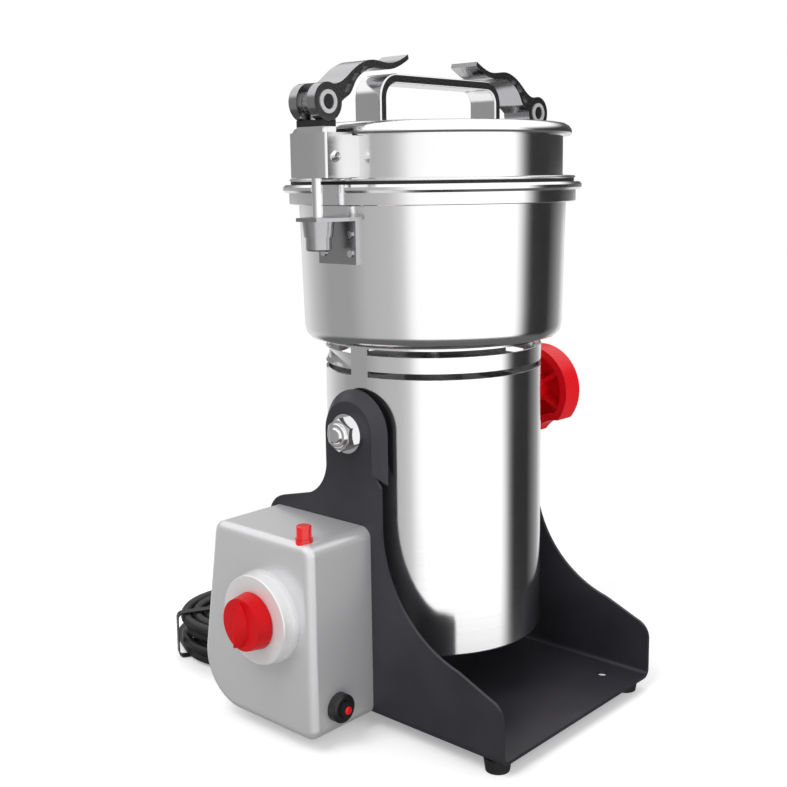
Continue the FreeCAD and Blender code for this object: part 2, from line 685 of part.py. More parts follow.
def lock_knob():
    at = V(WHEEL_INNER_X, 0, PIVOT_Z)
    depth = WHEEL_OUTER_X - WHEEL_INNER_X
    wheel = cyl(WHEEL_RADIUS, at, depth, X_AXIS)
    inner_radius = WHEEL_RADIUS - WHEEL_RIM
    hollow = cyl(inner_radius, at - V(1, 0, 0), depth - WHEEL_FACE + 1, X_AXIS)
    shape = wheel.cut(hollow)
    scallops = []
    walls = []
    for k in range(WHEEL_SCALLOPS):
        t = math.radians(-62 + 360.0 / WHEEL_SCALLOPS * k)
        c = V(0, -WHEEL_SCALLOP_AT * math.cos(t), WHEEL_SCALLOP_AT * math.sin(t))
        scallops.append(cyl(WHEEL_SCALLOP_RADIUS, at + c - V(1, 0, 0), depth + 2, X_AXIS))
        walls.append(tube(WHEEL_SCALLOP_RADIUS + WHEEL_RIM, WHEEL_SCALLOP_RADIUS, at + c, depth, X_AXIS))
    outline = wheel
    for scallop in scallops:
        outline = outline.cut(scallop)
    shape = shape.fuse([w.common(outline) for w in walls]).common(outline)
    hub = cyl(WHEEL_HUB_RADIUS, V(PLATE_OUT + WASHER_GAP, 0, PIVOT_Z),
              WHEEL_OUTER_X - PLATE_OUT - WASHER_GAP, X_AXIS)
    ribs = []
    for k in range(WHEEL_RIBS):
        rib = Part.makeBox(depth - 4, inner_radius, WHEEL_RIB, at + V(3, 0, -WHEEL_RIB / 2))
        rib.rotate(V(0, 0, PIVOT_Z), X_AXIS, 360.0 / WHEEL_RIBS * k + 28)
        ribs.append(rib.common(outline))
    shape = shape.fuse(ribs + [hub]).removeSplitter()
    bore = cyl(BOLT_RADIUS + BOLT_CLEARANCE, V(PLATE_OUT, 0, PIVOT_Z), LOCK_STUD_END + 0.5 - PLATE_OUT, X_AXIS)
    return shape.cut(bore)


# Motor inside the housing
def end_bracket(z):
    plate = cyl(TUBE_RADIUS - TUBE_WALL, V(0, 0, z), BRACKET_PLATE)
    hub = cyl(BEARING_RADIUS + 5, V(0, 0, z), BEARING_HEIGHT + 3)
    shape = plate.fuse(hub)
    for k in range(6):
        t = math.radians(60 * k + 30)
        shape = shape.cut(cyl(11, V(42 * math.cos(t), 42 * math.sin(t), z - 1), BRACKET_PLATE + 2))
    shape = shape.cut(cyl(BEARING_RADIUS, V(0, 0, z + 1.5), BEARING_HEIGHT + 3))
    return shape.cut(cyl(SHAFT_RADIUS + 2, V(0, 0, z - 1), 20)).removeSplitter()


def motor_bearings():
    bore = SHAFT_RADIUS + SHAFT_CLEARANCE
    rings = []
    for z in (LOWER_BRACKET_Z, UPPER_BRACKET_Z):
        rings.append(tube(BEARING_RADIUS, bore, V(0, 0, z + 1.5), BEARING_HEIGHT))
    return Part.makeCompound(rings)


def motor_stator():
    ring = tube(STATOR_RADIUS, STATOR_BORE, V(0, 0, STATOR_BOTTOM), STATOR_TOP - STATOR_BOTTOM)
    lugs = []
    for k in range(4):
        lug = block(STATOR_RADIUS - 3, TUBE_RADIUS - TUBE_WALL, -6, 6, STATOR_BOTTOM, STATOR_TOP)
        lug = lug.common(cyl(TUBE_RADIUS - TUBE_WALL, V(0, 0, STATOR_BOTTOM), 80))
        lug.rotate(MILL, Z_AXIS, 90 * k + 45)
        lugs.append(lug)
    return ring.fuse(lugs).removeSplitter()


def stator_windings():
    low = tube(WINDING_OUTER, WINDING_INNER, V(0, 0, STATOR_BOTTOM - WINDING_HEIGHT), WINDING_HEIGHT)
    high = tube(WINDING_OUTER, WINDING_INNER, V(0, 0, STATOR_TOP), WINDING_HEIGHT)
    return Part.makeCompound([low, high])


def brush_holders():
    inner = COMMUTATOR_RADIUS + 3
    z = COMMUTATOR_BOTTOM + COMMUTATOR_HEIGHT / 2
    half = HOLDER_SIZE / 2
    holders = []
    for side in (-1, 1):
        y0, y1 = sorted((side * inner, side * (inner + HOLDER_LENGTH)))
        holder = block(-half, half, y0, y1, z - half, z + half)
        leg = block(-half, half, y0, y1, LOWER_BRACKET_Z + BRACKET_PLATE, z - half)
        leg = leg.cut(cyl(BEARING_RADIUS + 5, V(0, 0, LOWER_BRACKET_Z), 14))
        holder = holder.fuse(leg)
        slot_half = BRUSH_SIZE / 2
        holders.append(holder.cut(block(-slot_half, slot_half, y0 - 1, y1 + 1, z - slot_half, z + slot_half)))
    return Part.makeCompound(holders)


def carbon_brushes():
    z = COMMUTATOR_BOTTOM + COMMUTATOR_HEIGHT / 2
    half = BRUSH_SIZE / 2
    keep = cyl(COMMUTATOR_RADIUS + BRUSH_GAP, V(0, 0, z - 20), 40)
    near = block(-half, half, 0, COMMUTATOR_RADIUS + BRUSH_LENGTH, z - half, z + half).cut(keep)
    return Part.makeCompound([near, near.mirror(MILL, Y_AXIS)])


def rotor_shaft():
    return cyl(SHAFT_RADIUS, V(0, 0, SHAFT_BOTTOM), SHAFT_TOP - SHAFT_BOTTOM)


def rotor_core():
    core = tube(CORE_RADIUS, SHAFT_RADIUS, V(0, 0, STATOR_BOTTOM), STATOR_TOP - STATOR_BOTTOM)
    for k in range(12):
        t = math.radians(30 * k)
        at = V((CORE_RADIUS - 3) * math.cos(t), (CORE_RADIUS - 3) * math.sin(t), STATOR_BOTTOM - 1)
        core = core.cut(cyl(2.2, at, STATOR_TOP - STATOR_BOTTOM + 2))
    return core


def commutator():
    return tube(COMMUTATOR_RADIUS, SHAFT_RADIUS, V(0, 0, COMMUTATOR_BOTTOM), COMMUTATOR_HEIGHT)


def cooling_fan():
    plate = tube(FAN_RADIUS, SHAFT_RADIUS, V(0, 0, FAN_BOTTOM), FAN_PLATE)
    hub = tube(FAN_HUB, SHAFT_RADIUS, V(0, 0, FAN_BOTTOM), FAN_HEIGHT)
    blades = []
    for k in range(FAN_BLADES):
        blade = block(FAN_HUB - 1, FAN_RADIUS - 1, -0.8, 0.8, FAN_BOTTOM, FAN_BOTTOM + FAN_HEIGHT)
        blade.rotate(MILL, Z_AXIS, 360.0 / FAN_BLADES * k)
        blades.append(blade)
    return plate.fuse([hub] + blades).removeSplitter()


# Bowl and what is fixed to it
def grinding_bowl():
    wall = BOWL_WALL
    profile = [
        (SEAL_HOLE, BOWL_BOTTOM),
        (BOWL_FOOT_RADIUS, BOWL_BOTTOM),
        (75.2, BOWL_BOTTOM + 0.9),
        (77.3, BOWL_BOTTOM + 3.2),
        (BOWL_LOW_RADIUS, BOWL_LOW_Z),
        (BOWL_TOP_RADIUS, SKIRT_BOTTOM - 1.0),
        (SKIRT_RADIUS - 0.5, SKIRT_BOTTOM - 0.4),
        (SKIRT_RADIUS, SKIRT_BOTTOM),
        (SKIRT_RADIUS, BEAD_BOTTOM),
        (BEAD_RADIUS - 1.4, BEAD_BOTTOM),
        (BEAD_RADIUS, BEAD_BOTTOM + 1.4),
        (BEAD_RADIUS, RIM_TOP - 1.4),
        (BEAD_RADIUS - 1.4, RIM_TOP),
        (RIM_INNER + 1.0, RIM_TOP),
        (RIM_INNER, RIM_TOP - 1.0),
        (BOWL_LOW_RADIUS - wall, BOWL_LOW_Z + 1.0),
        (75.8, BOWL_BOTTOM + 3.8),
        (74.0, BOWL_BOTTOM + 2.3),
        (BOWL_FOOT_RADIUS - 0.5, BOWL_BOTTOM + wall),
        (SEAL_HOLE, BOWL_BOTTOM + wall),
    ]
    shape = revolved(profile)
    ring = tube(BEAD_RADIUS + 2, SKIRT_RADIUS, V(0, 0, BEAD_BOTTOM - 1), RIM_TOP - BEAD_BOTTOM + 2)
    notch = block(-BEAD_RADIUS - 5, BEAD_RADIUS + 5, -BEAD_NOTCH, BEAD_NOTCH, BEAD_BOTTOM - 2, RIM_TOP + 2)
    return shape.cut(ring.common(notch))


def shaft_seal():
    low = BOWL_BOTTOM
    ring = cyl(SEAL_HOLE, V(0, 0, low), BOWL_WALL)
    cap = Part.makeCone(SEAL_RING_RADIUS, SEAL_RING_RADIUS - 3, SEAL_RING_HEIGHT, V(0, 0, low + BOWL_WALL))
    return ring.fuse(cap).cut(cyl(SHAFT_RADIUS + SHAFT_CLEARANCE, V(0, 0, low - 1), 20)).removeSplitter()


def blade(reach, z, droop, twist):
    half = BLADE_WIDTH / 2
    wings = []
    for side in (0, 1):
        points = [
            V(0, -half, 0),
            V(reach * 0.55, -half, 0),
            V(reach, -half * 0.25, 0),
            V(reach, half * 0.75, 0),
            V(reach * 0.5, half, 0),
            V(0, half, 0),
        ]
        wing = face_of(points).extrude(V(0, 0, BLADE_THICKNESS))
        wing.rotate(V(BLADE_BOSS, 0, 0), Y_AXIS, -droop)
        wing = wing.common(block(BLADE_BOSS + 0.6, reach + 5, -30, 30, -30, 30))
        wing.rotate(MILL, Z_AXIS, 180 * side)
        wings.append(wing)
    hub = cyl(BLADE_BOSS + 3, V(0, 0, 0), BLADE_THICKNESS)
    shape = hub.fuse(wings).cut(cyl(SHAFT_RADIUS, V(0, 0, -5), 20)).removeSplitter()
    shape.rotate(MILL, Z_AXIS, twist)
    shape.translate(V(0, 0, z))
    return shape


def blade_spacers():
    first = tube(BLADE_BOSS, SHAFT_RADIUS, V(0, 0, LOWER_BLADE_Z + BLADE_THICKNESS),
                 UPPER_BLADE_Z - LOWER_BLADE_Z - BLADE_THICKNESS)
    base = BOWL_BOTTOM + BOWL_WALL + SEAL_RING_HEIGHT + 0.4
    second = tube(BLADE_BOSS - 1, SHAFT_RADIUS, V(0, 0, base), LOWER_BLADE_Z - base)
    return Part.makeCompound([first, second])


def blade_nut():
    z = UPPER_BLADE_Z + BLADE_THICKNESS
    nut = hexagon(BLADE_NUT_ACROSS, V(0, 0, z), "z", BLADE_NUT_HEIGHT)
    return nut.cut(cyl(SHAFT_RADIUS, V(0, 0, z - 1), BLADE_NUT_HEIGHT + 2))


def catch_bracket():
    # The left catch: a plate on the bowl wall, and a shelf that flares down round its nut.
    plate = block(-CATCH_X - CATCH_PLATE, -CATCH_X + 3.5, -CATCH_HALF, CATCH_HALF, CATCH_BOTTOM, CATCH_TOP)
    shelf_points = [
        V(-CATCH_X, -CATCH_HALF, CATCH_TOP - CATCH_SHELF),
        V(-CATCH_X, CATCH_HALF, CATCH_TOP - CATCH_SHELF),
        V(-CATCH_X - 9, CATCH_HALF, CATCH_TOP - CATCH_SHELF),
        V(-CATCH_REACH, CATCH_TIP_HALF, CATCH_TOP - CATCH_SHELF),
        V(-CATCH_REACH, -CATCH_TIP_HALF, CATCH_TOP - CATCH_SHELF),
        V(-CATCH_X - 9, -CATCH_HALF, CATCH_TOP - CATCH_SHELF),
    ]
    shelf = face_of(shelf_points).extrude(V(0, 0, CATCH_SHELF))
    low = V(-LATCH_X, 0, CATCH_TOP - CATCH_SHELF - CATCH_FLARE)
    bore_radius = CATCH_NUT_RADIUS + CATCH_FLARE_GAP
    flare = Part.makeCone(bore_radius + CATCH_FLARE_WALL, CATCH_FLARE_RADIUS, CATCH_FLARE, low)
    flare = flare.cut(cyl(bore_radius, low - V(0, 0, 1), CATCH_FLARE + 1))
    shape = plate.fuse([shelf, flare])
    wall = Part.makeCone(BOWL_LOW_RADIUS, BOWL_TOP_RADIUS, SKIRT_BOTTOM - 1.0 - BOWL_LOW_Z, V(0, 0, BOWL_LOW_Z))
    shape = shape.cut(wall)
    rod = V(-LATCH_X, 0, CATCH_TOP - CATCH_SHELF - 1)
    shape = shape.cut(cyl(CATCH_HOLE, rod, 6))
    dish = Part.makeCone(CATCH_HOLE, CATCH_HOLE + 1.4, CATCH_SHELF, V(-LATCH_X, 0, CATCH_TOP - CATCH_SHELF))
    return shape.cut(dish).removeSplitter()


def catch_rivets():
    rivets = []
    for z in RIVET_Z:
        for y in (-RIVET_Y, RIVET_Y):
            start = V(-CATCH_X - CATCH_PLATE - RIVET_DOME, y, z)
            rivets.append(cyl(RIVET_RADIUS, start, RIVET_DOME, X_AXIS))
    left = Part.makeCompound(rivets)
    return pair_x(left)


def catch_nut():
    start = V(-LATCH_X, 0, CATCH_NUT_BOTTOM)
    nut = cyl(CATCH_NUT_RADIUS, start, CATCH_NUT_TOP - CATCH_NUT_BOTTOM)
    nut = nut.makeFillet(1.0, [e for e in nut.Edges if e.BoundBox.ZMax < CATCH_NUT_BOTTOM + 0.01])
    collar = Part.makeCone(CATCH_NUT_RADIUS, CATCH_HOLE, 0.2, V(-LATCH_X, 0, CATCH_NUT_TOP))
    nut = nut.fuse(collar)
    return nut.cut(cyl(CATCH_NUT_BORE, start - V(0, 0, 1), 30)).removeSplitter()


# Lid and latches
def lid():
    wall = LID_WALL
    inner = LID_WALL_RADIUS - wall
    profile = [
        (inner - 0.5, LID_FLANGE_BOTTOM),
        (LID_FLANGE_RADIUS - 0.6, LID_FLANGE_BOTTOM),
        (LID_FLANGE_RADIUS, LID_FLANGE_BOTTOM + 0.6),
        (LID_FLANGE_RADIUS, LID_FLANGE_TOP - 0.5),
        (LID_FLANGE_RADIUS - 0.6, LID_FLANGE_TOP),
        (LID_WALL_RADIUS, LID_FLANGE_TOP + 0.4),
        (LID_WALL_RADIUS, LID_BEAD_BOTTOM - 0.6),
        (LID_BEAD_RADIUS - 0.8, LID_BEAD_BOTTOM),
        (LID_BEAD_RADIUS, LID_BEAD_BOTTOM + 1.2),
        (LID_BEAD_RADIUS - 0.3, LID_BEAD_BOTTOM + 3.2),
        (LID_BEAD_RADIUS - 1.7, LID_BEAD_BOTTOM + 5.2),
        (LID_BEAD_RADIUS - 4.2, LID_TOP - 0.5),
        (LID_FLAT_RADIUS, LID_TOP),
        (0, LID_TOP),
        (0, LID_TOP - wall),
        (LID_FLAT_RADIUS, LID_TOP - wall),
        (inner, LID_TOP - wall - 1.5),
        (inner, LID_FLANGE_BOTTOM + 1.0),
    ]
    shape = revolved(profile)
    for x in (-HANDLE_HALF + HANDLE_THICKNESS / 2, HANDLE_HALF - HANDLE_THICKNESS / 2):
        shape = shape.cut(cyl(HANDLE_SCREW_RADIUS - 0.8, V(x, 0, LID_TOP - 5), 8))
    return shape


def lid_liner():
    # The inner pan that closes the lid over the bowl.
    t = LINER_THICKNESS
    profile = [
        (0, LINER_BOTTOM),
        (LINER_RADIUS - 2, LINER_BOTTOM),
        (LINER_RADIUS, LINER_BOTTOM + 2),
        (LINER_RADIUS, LID_FLANGE_BOTTOM + 0.2),
        (LID_WALL_RADIUS - LID_WALL - 0.5, LID_FLANGE_BOTTOM + 0.2),
        (LID_WALL_RADIUS - LID_WALL - 0.5, LID_FLANGE_BOTTOM + 0.2 + t),
        (LINER_RADIUS - t, LID_FLANGE_BOTTOM + 0.2 + t),
        (LINER_RADIUS - t, LINER_BOTTOM + t + 1.2),
        (LINER_RADIUS - 2.4, LINER_BOTTOM + t),
        (0, LINER_BOTTOM + t),
    ]
    return revolved(profile)


def lid_seal():
    low = RIM_TOP + SEAL_GAP
    return tube(SEAL_OUTER, SEAL_INNER, V(0, 0, low), LID_FLANGE_BOTTOM - low)


def lid_handle():
    y = -HANDLE_WIDTH / 2
    low = LID_TOP

    def wire(half, top, r):
        k = r * 0.2929
        return [
            line(V(-half, y, low), V(-half, y, top - r)),
            arc(V(-half, y, top - r), V(-half + k, y, top - k), V(-half + r, y, top)),
            line(V(-half + r, y, top), V(half - r, y, top)),
            arc(V(half - r, y, top), V(half - k, y, top - k), V(half, y, top - r)),
            line(V(half, y, top - r), V(half, y, low)),
            line(V(half, y, low), V(-half, y, low)),
        ]

    t = HANDLE_THICKNESS
    depth = V(0, HANDLE_WIDTH, 0)
    outer = prism(wire(HANDLE_HALF, HANDLE_TOP, HANDLE_BEND), depth)
    inner = prism(wire(HANDLE_HALF - t, HANDLE_TOP - t, HANDLE_BEND - t), depth)
    shape = outer.cut(inner)
    long_edges = [e for e in shape.Edges if abs(e.BoundBox.YMax - e.BoundBox.YMin) < 0.01
                  and e.BoundBox.ZMax > low + 1]
    shape = shape.makeFillet(1.2, long_edges)
    for x in (-HANDLE_HALF + t / 2, HANDLE_HALF - t / 2):
        shape = shape.cut(cyl(HANDLE_SCREW_RADIUS - 0.8, V(x, 0, low - 1), HANDLE_SCREW_LENGTH + 1))
    return shape


def handle_screws():
    screws = []
    for x in (-HANDLE_HALF + HANDLE_THICKNESS / 2, HANDLE_HALF - HANDLE_THICKNESS / 2):
        low = LID_TOP - LID_WALL
        stem = cyl(HANDLE_SCREW_RADIUS - 0.8, V(x, 0, low), LID_WALL + HANDLE_SCREW_LENGTH - 0.5)
        head = Part.makeCone(HANDLE_SCREW_HEAD - 1, HANDLE_SCREW_HEAD, 2.5, V(x, 0, low - 2.5))
        screws.append(stem.fuse(head))
    return Part.makeCompound(screws)


def left_channel():
    x0 = -CHANNEL_OUTER_X

    def bowed(x, half, inner_x, low, high):
        def p(px, y):
            return V(px, y, low)
        return prism([
            line(p(inner_x, -half), p(x, -half)),
            arc(p(x, -half), p(x - CHANNEL_BULGE, 0), p(x, half)),
            line(p(x, half), p(inner_x, half)),
            line(p(inner_x, half), p(inner_x, -half)),
        ], V(0, 0, high - low))

    outer = bowed(x0, CHANNEL_HALF, -LID_WALL_RADIUS + 6, CHANNEL_BOTTOM, CHANNEL_TOP)
    corner = [e for e in outer.Edges if e.BoundBox.ZLength > 20 and e.BoundBox.XMax < x0 + 0.1]
    outer = outer.makeFillet(1.5, corner)
    hollow = bowed(x0 + CHANNEL_SHEET, CHANNEL_HALF - CHANNEL_SHEET, 0, CHANNEL_BOTTOM - 1, CHANNEL_TOP + 1)
    shape = outer.cut(hollow)
    lid_space = cyl(LID_WALL_RADIUS, V(0, 0, CHANNEL_BOTTOM - 5), 60)
    bead = cyl(LID_BEAD_RADIUS + 0.1, V(0, 0, LID_BEAD_BOTTOM - 0.7), 10)
    flange = cyl(LID_FLANGE_RADIUS, V(0, 0, LID_FLANGE_BOTTOM), LID_FLANGE_TOP + 0.4 - LID_FLANGE_BOTTOM)
    shape = shape.cut([lid_space, bead, flange])
    hole = cyl(CHANNEL_SCREW_RADIUS, V(-95, -CHANNEL_HALF - 1, CHANNEL_SCREW_Z), 2 * CHANNEL_HALF + 2, Y_AXIS)
    return shape.cut(hole)


def latch_channels():
    return pair_x(left_channel())


def rod_bore(radius):
    return cyl(radius, V(-LATCH_X, 0, CHANNEL_BOTTOM - 10), 60)


def latch_blocks():
    shape = block(-BLOCK_OUTER_X, -BLOCK_INNER_X, -CHANNEL_HALF + CHANNEL_SHEET, CHANNEL_HALF - CHANNEL_SHEET,
                  BLOCK_BOTTOM, CHANNEL_TOP - 0.5)
    neck = block(-BLOCK_OUTER_X, -BLOCK_INNER_X, -BLOCK_HALF, BLOCK_HALF, CHANNEL_TOP - 1, BLOCK_TOP)
    shape = shape.fuse(neck).cut(rod_bore(ROD_RADIUS + ROD_GAP))
    hole = cyl(CHANNEL_SCREW_RADIUS, V(-95, -30, CHANNEL_SCREW_Z), 60, Y_AXIS)
    inner_hole = block(-BLOCK_OUTER_X - 1, -BLOCK_INNER_X + 1, -6, 6, CHANNEL_SCREW_Z - 5, CHANNEL_SCREW_Z + 5)
    shape = shape.cut(hole.cut(inner_hole)).removeSplitter()
    return pair_x(shape)


def latch_screws():
    screws = []
    for side in (-1, 1):
        y0 = side * CHANNEL_HALF
        direction = V(0, side, 0)
        head = Part.makeCone(CHANNEL_SCREW_HEAD, CHANNEL_SCREW_HEAD - 1.0, 1.8,
                             V(-95, y0, CHANNEL_SCREW_Z), direction)
        cross = block(-95 - 0.4, -95 + 0.4, y0 - 2.5, y0 + 2.5, CHANNEL_SCREW_Z - 2, CHANNEL_SCREW_Z + 2)
        cross = cross.fuse(block(-97, -93, y0 - 2.5, y0 + 2.5, CHANNEL_SCREW_Z - 0.4, CHANNEL_SCREW_Z + 0.4))
        outside = cyl(10, V(-95, y0 + side * 1.0, CHANNEL_SCREW_Z), 5, direction)
        head = head.cut(cross.common(outside))
        stem = cyl(CHANNEL_SCREW_RADIUS, V(-95, y0 - side * 8, CHANNEL_SCREW_Z), 8, direction)
        screws.append(head.fuse(stem))
    return pair_x(Part.makeCompound(screws))


def latch_pads():
    shape = block(-BLOCK_OUTER_X, -BLOCK_INNER_X, -BLOCK_HALF, BLOCK_HALF, BLOCK_TOP, PAD_TOP)
    cradle = cyl(BARREL_RADIUS + PAD_GAP, V(-LATCH_X, -30, LATCH_Z), 60, Y_AXIS)
    shape = shape.cut(cradle).cut(rod_bore(ROD_RADIUS + ROD_GAP))
    return pair_x(shape)


def latch_rods():
    rod = cyl(ROD_RADIUS, V(-LATCH_X, 0, ROD_BOTTOM), LATCH_Z - ROD_BOTTOM)
    eye = cyl(ROD_EYE_RADIUS, V(-LATCH_X, -ROD_EYE_HALF, LATCH_Z), 2 * ROD_EYE_HALF, Y_AXIS)
    shape = rod.fuse(eye)
    return pair_x(shape.cut(cyl(PIN_RADIUS, V(-LATCH_X, -10, LATCH_Z), 20, Y_AXIS)).removeSplitter())


def latch_pins():
    pin = cyl(PIN_RADIUS, V(-LATCH_X, -LEVER_HALF, LATCH_Z), 2 * LEVER_HALF, Y_AXIS)
    return pair_x(pin)


def lever_outline():
    def p(x, z):
        return V(-LATCH_X + x, -LEVER_HALF, LATCH_Z + z)

    top = Part.BSplineCurve()
    top.interpolate([p(2.0, 9.6), p(7.5, 9.9), p(12.5, 12.3), p(19.0, 17.3), p(26.0, 21.4), p(34.5, 23.7),
                     p(43.0, 23.1), p(50.0, 22.9), p(57.0, 24.9), p(64.0, 28.4)])
    low = Part.BSplineCurve()
    low.interpolate([p(64.6, 25.9), p(57.0, 21.8), p(49.0, 19.4), p(41.0, 19.4), p(34.0, 19.2), p(27.0, 16.4),
                     p(21.0, 11.2), p(16.6, 4.6), p(12.8, 2.2), p(8.5, -1.5)])
    return [
        top.toShape(),
        line(p(64.0, 28.4), p(64.6, 25.9)),
        low.toShape(),
        line(p(8.5, -1.5), p(2.0, 9.6)),
    ]


def left_lever():
    arm = prism(lever_outline(), V(0, 2 * LEVER_HALF, 0))
    barrel = cyl(BARREL_RADIUS, V(-LATCH_X, -LEVER_HALF, LATCH_Z), 2 * LEVER_HALF, Y_AXIS)
    shape = arm.fuse(barrel)
    slot_half = LEVER_SLOT
    gap = cyl(ROD_EYE_RADIUS + 0.6, V(-LATCH_X, -slot_half, LATCH_Z), 2 * slot_half, Y_AXIS)
    mouth = block(-LATCH_X - 20, -LATCH_X + ROD_EYE_RADIUS + 0.6, -slot_half, slot_half, LATCH_Z - 20, LATCH_Z)
    shape = shape.cut([gap, mouth])
    outer = block(-LATCH_X - 20, -LATCH_X, -slot_half, slot_half, LATCH_Z - 1, LATCH_Z + 20)
    shape = shape.cut(outer)
    shape = shape.cut(cyl(BUSH_RADIUS, V(-LATCH_X, -20, LATCH_Z), 40, Y_AXIS))
    for dx, dz, tilt in RECESSES:
        for y in (-LEVER_HALF - 0.5, LEVER_HALF - RECESS_DEPTH):
            pocket = block(-RECESS_LONG / 2, RECESS_LONG / 2, 0, RECESS_DEPTH + 0.5,
                           -RECESS_SHORT / 2, RECESS_SHORT / 2)
            pocket = pocket.makeFillet(RECESS_SHORT / 2 - 0.1,
                                       [e for e in pocket.Edges if e.BoundBox.YLength > RECESS_DEPTH])
            pocket.rotate(MILL, Y_AXIS, -tilt)
            pocket.translate(V(-LATCH_X + dx, y, LATCH_Z + dz))
            shape = shape.cut(pocket)
    return shape.removeSplitter()


def left_bushes():
    bushes = []
    for side in (-1, 1):
        start = V(-LATCH_X, side * (LEVER_SLOT + 0.2), LATCH_Z)
        length = LEVER_HALF + BUSH_PROUD - LEVER_SLOT - 0.2
        bushes.append(tube(BUSH_RADIUS, PIN_RADIUS + PIN_CLEARANCE, start, length, V(0, side, 0)))
    return Part.makeCompound(bushes)


# Mains cord
def cord_gland():
    # A strain relief through the back wall of the control box.
    flange = cyl(GLAND_RADIUS, V(GLAND_X, GLAND_INNER_Y, GLAND_Z), GLAND_FLANGE_Y - GLAND_INNER_Y, Y_AXIS)
    flange = flange.cut(box_solid())
    neck = cyl(GLAND_NECK, V(GLAND_X, GLAND_INNER_Y, GLAND_Z), GLAND_FLANGE_Y - GLAND_INNER_Y, Y_AXIS)
    boot = Part.makeCone(6.4, 4.8, GLAND_END_Y - GLAND_FLANGE_Y, V(GLAND_X, GLAND_FLANGE_Y, GLAND_Z), Y_AXIS)
    return flange.fuse([neck, boot]).removeSplitter()


def cord_route():
    x = GLAND_X
    return [
        V(x, GLAND_END_Y, GLAND_Z),
        V(x, GLAND_END_Y + 9.0, GLAND_Z),
        V(x, COIL_Y - CORD_ENTRY - 9.0, COIL_TOP_Z),
        V(x, COIL_Y - CORD_ENTRY, COIL_TOP_Z),
    ]


def filleted_path(points):
    edges = []
    radii = []
    start = points[0]
    for before, here, after in zip(points, points[1:], points[2:]):
        into = (here - before).normalize()
        out = (after - here).normalize()
        turn = math.acos(max(-1.0, min(1.0, into.dot(out))))
        run = min((here - before).Length, (after - here).Length)
        trim = 0.45 * run
        radius = trim / math.tan(turn / 2)
        a = here - into * trim
        b = here + out * trim
        chord_mid = (a + b) * 0.5
        k = math.cos(turn / 2) / (1 + math.cos(turn / 2))
        edges.append(line(start, a))
        edges.append(arc(a, chord_mid + (here - chord_mid) * k, b))
        radii.append(radius)
        start = b
    edges.append(line(start, points[-1]))
    return edges, radii


def swept(edges, start, direction):
    wire = Part.Wire(edges)
    circle = Part.Wire([Part.makeCircle(CORD_RADIUS, start, direction)])
    shell = Part.BRepOffsetAPI.MakePipeShell(wire)
    shell.setFrenetMode(False)
    shell.add(circle, False, False)
    shell.build()
    shell.makeSolid()
    return shell.shape(), wire.Length


def power_cord():
    route = cord_route()
    edges, radii = filleted_path(route)
    shape, length = swept(edges, route[0], Y_AXIS)
    expected = math.pi * CORD_RADIUS ** 2 * length
    print("power_cord radii", [round(r, 1) for r in radii], "length", round(length, 1),
          "volume ratio", round(abs(shape.Volume) / expected, 4))
    return shape


def smooth(t):
    t = max(0.0, min(1.0, t))
    return t * t * (3 - 2 * t)


def coil_place(turned):
    # The route round the coil: degrees turned clockwise from the leftmost point.
    layer_deg = 360.0 * COIL_TURNS
    climb_deg = 180.0
    radius = COIL_OUTER
    height = COIL_TOP_Z
    left = turned
    for layer in range(4):
        inward = layer % 2 == 0
        span = min(left, layer_deg)
        share = span / layer_deg
        radius = COIL_OUTER + (COIL_INNER - COIL_OUTER) * (share if inward else 1 - share)
        left -= span
        if left <= 0 or layer == 3:
            break
        span = min(left, climb_deg)
        dip = math.sin(math.pi * span / climb_deg) * 1.2
        radius += -dip if inward else dip
        height = COIL_TOP_Z - (layer + smooth(span / climb_deg)) * COIL_LAYER
        left -= span
        if left <= 0:
            break
    total = coil_total()
    last = smooth((turned - (total - 58.0)) / 54.0)
    radius += COIL_END_OUT * last
    t = math.radians(180.0 - turned)
    return V(COIL_X + radius * math.cos(t), COIL_Y + radius * math.sin(t), height)


def coil_total():
    return 4 * 360.0 * COIL_TURNS + 3 * 180.0 - 90.0 - 180.0 + 180.0


def coil_points():
    total = coil_total()
    count = int(round(total / COIL_STEP_DEG))
    step = total / count
    points = []
    for k in range(count + 1):
        at = step * k
        ahead = coil_place(at + 0.2)
        behind = coil_place(at - 0.2)
        points.append((coil_place(at), (ahead - behind).normalize()))
    first = points[0][0]
    points[0] = (first, V(0, 1, 0))
    last, way = points[-1]
    points[-1] = (last, V(1, 0, 0))
    points.append((last + V(COIL_TAIL, 0, COIL_END_RISE), V(1, 0, 0)))
    return points


def biarc(p0, t0, p1, t1):
    v = p1 - p0
    t = t0 + t1
    denominator = 2 * (1 - t0.dot(t1))
    if denominator < 1e-9:
        d = v.Length / 2
    else:
        vt = v.dot(t)
        d = (-vt + math.sqrt(vt * vt + denominator * v.dot(v))) / denominator
    q0 = p0 + t0 * d
    q1 = p1 - t1 * d
    mid = (q0 + q1) * 0.5
    pieces = []
    for a, q, b in ((p0, q0, mid), (mid, q1, p1)):
        half_chord = (b - a).Length / 2
        cos_phi = min(1.0, half_chord / d)
        centre = (a + b) * 0.5
        if 1 - cos_phi < 1e-9:
            pieces.append(line(a, b))
        else:
            pieces.append(arc(a, centre + (q - centre) * (cos_phi / (1 + cos_phi)), b))
    return pieces


def self_gap(edges):
    samples = []
    walked = 0.0
    for e in edges:
        count = max(2, int(e.Length / 1.5))
        for k in range(count):
            at = e.FirstParameter + (e.LastParameter - e.FirstParameter) * k / count
            samples.append((walked + e.Length * k / count, e.valueAt(at)))
        walked += e.Length
    least = 1e9
    for i, (s, p) in enumerate(samples):
        for r, q in samples[i + 1:]:
            if r - s > 5 * CORD_RADIUS:
                d = (p - q).Length
                if d < least:
                    least = d
    return least - 2 * CORD_RADIUS


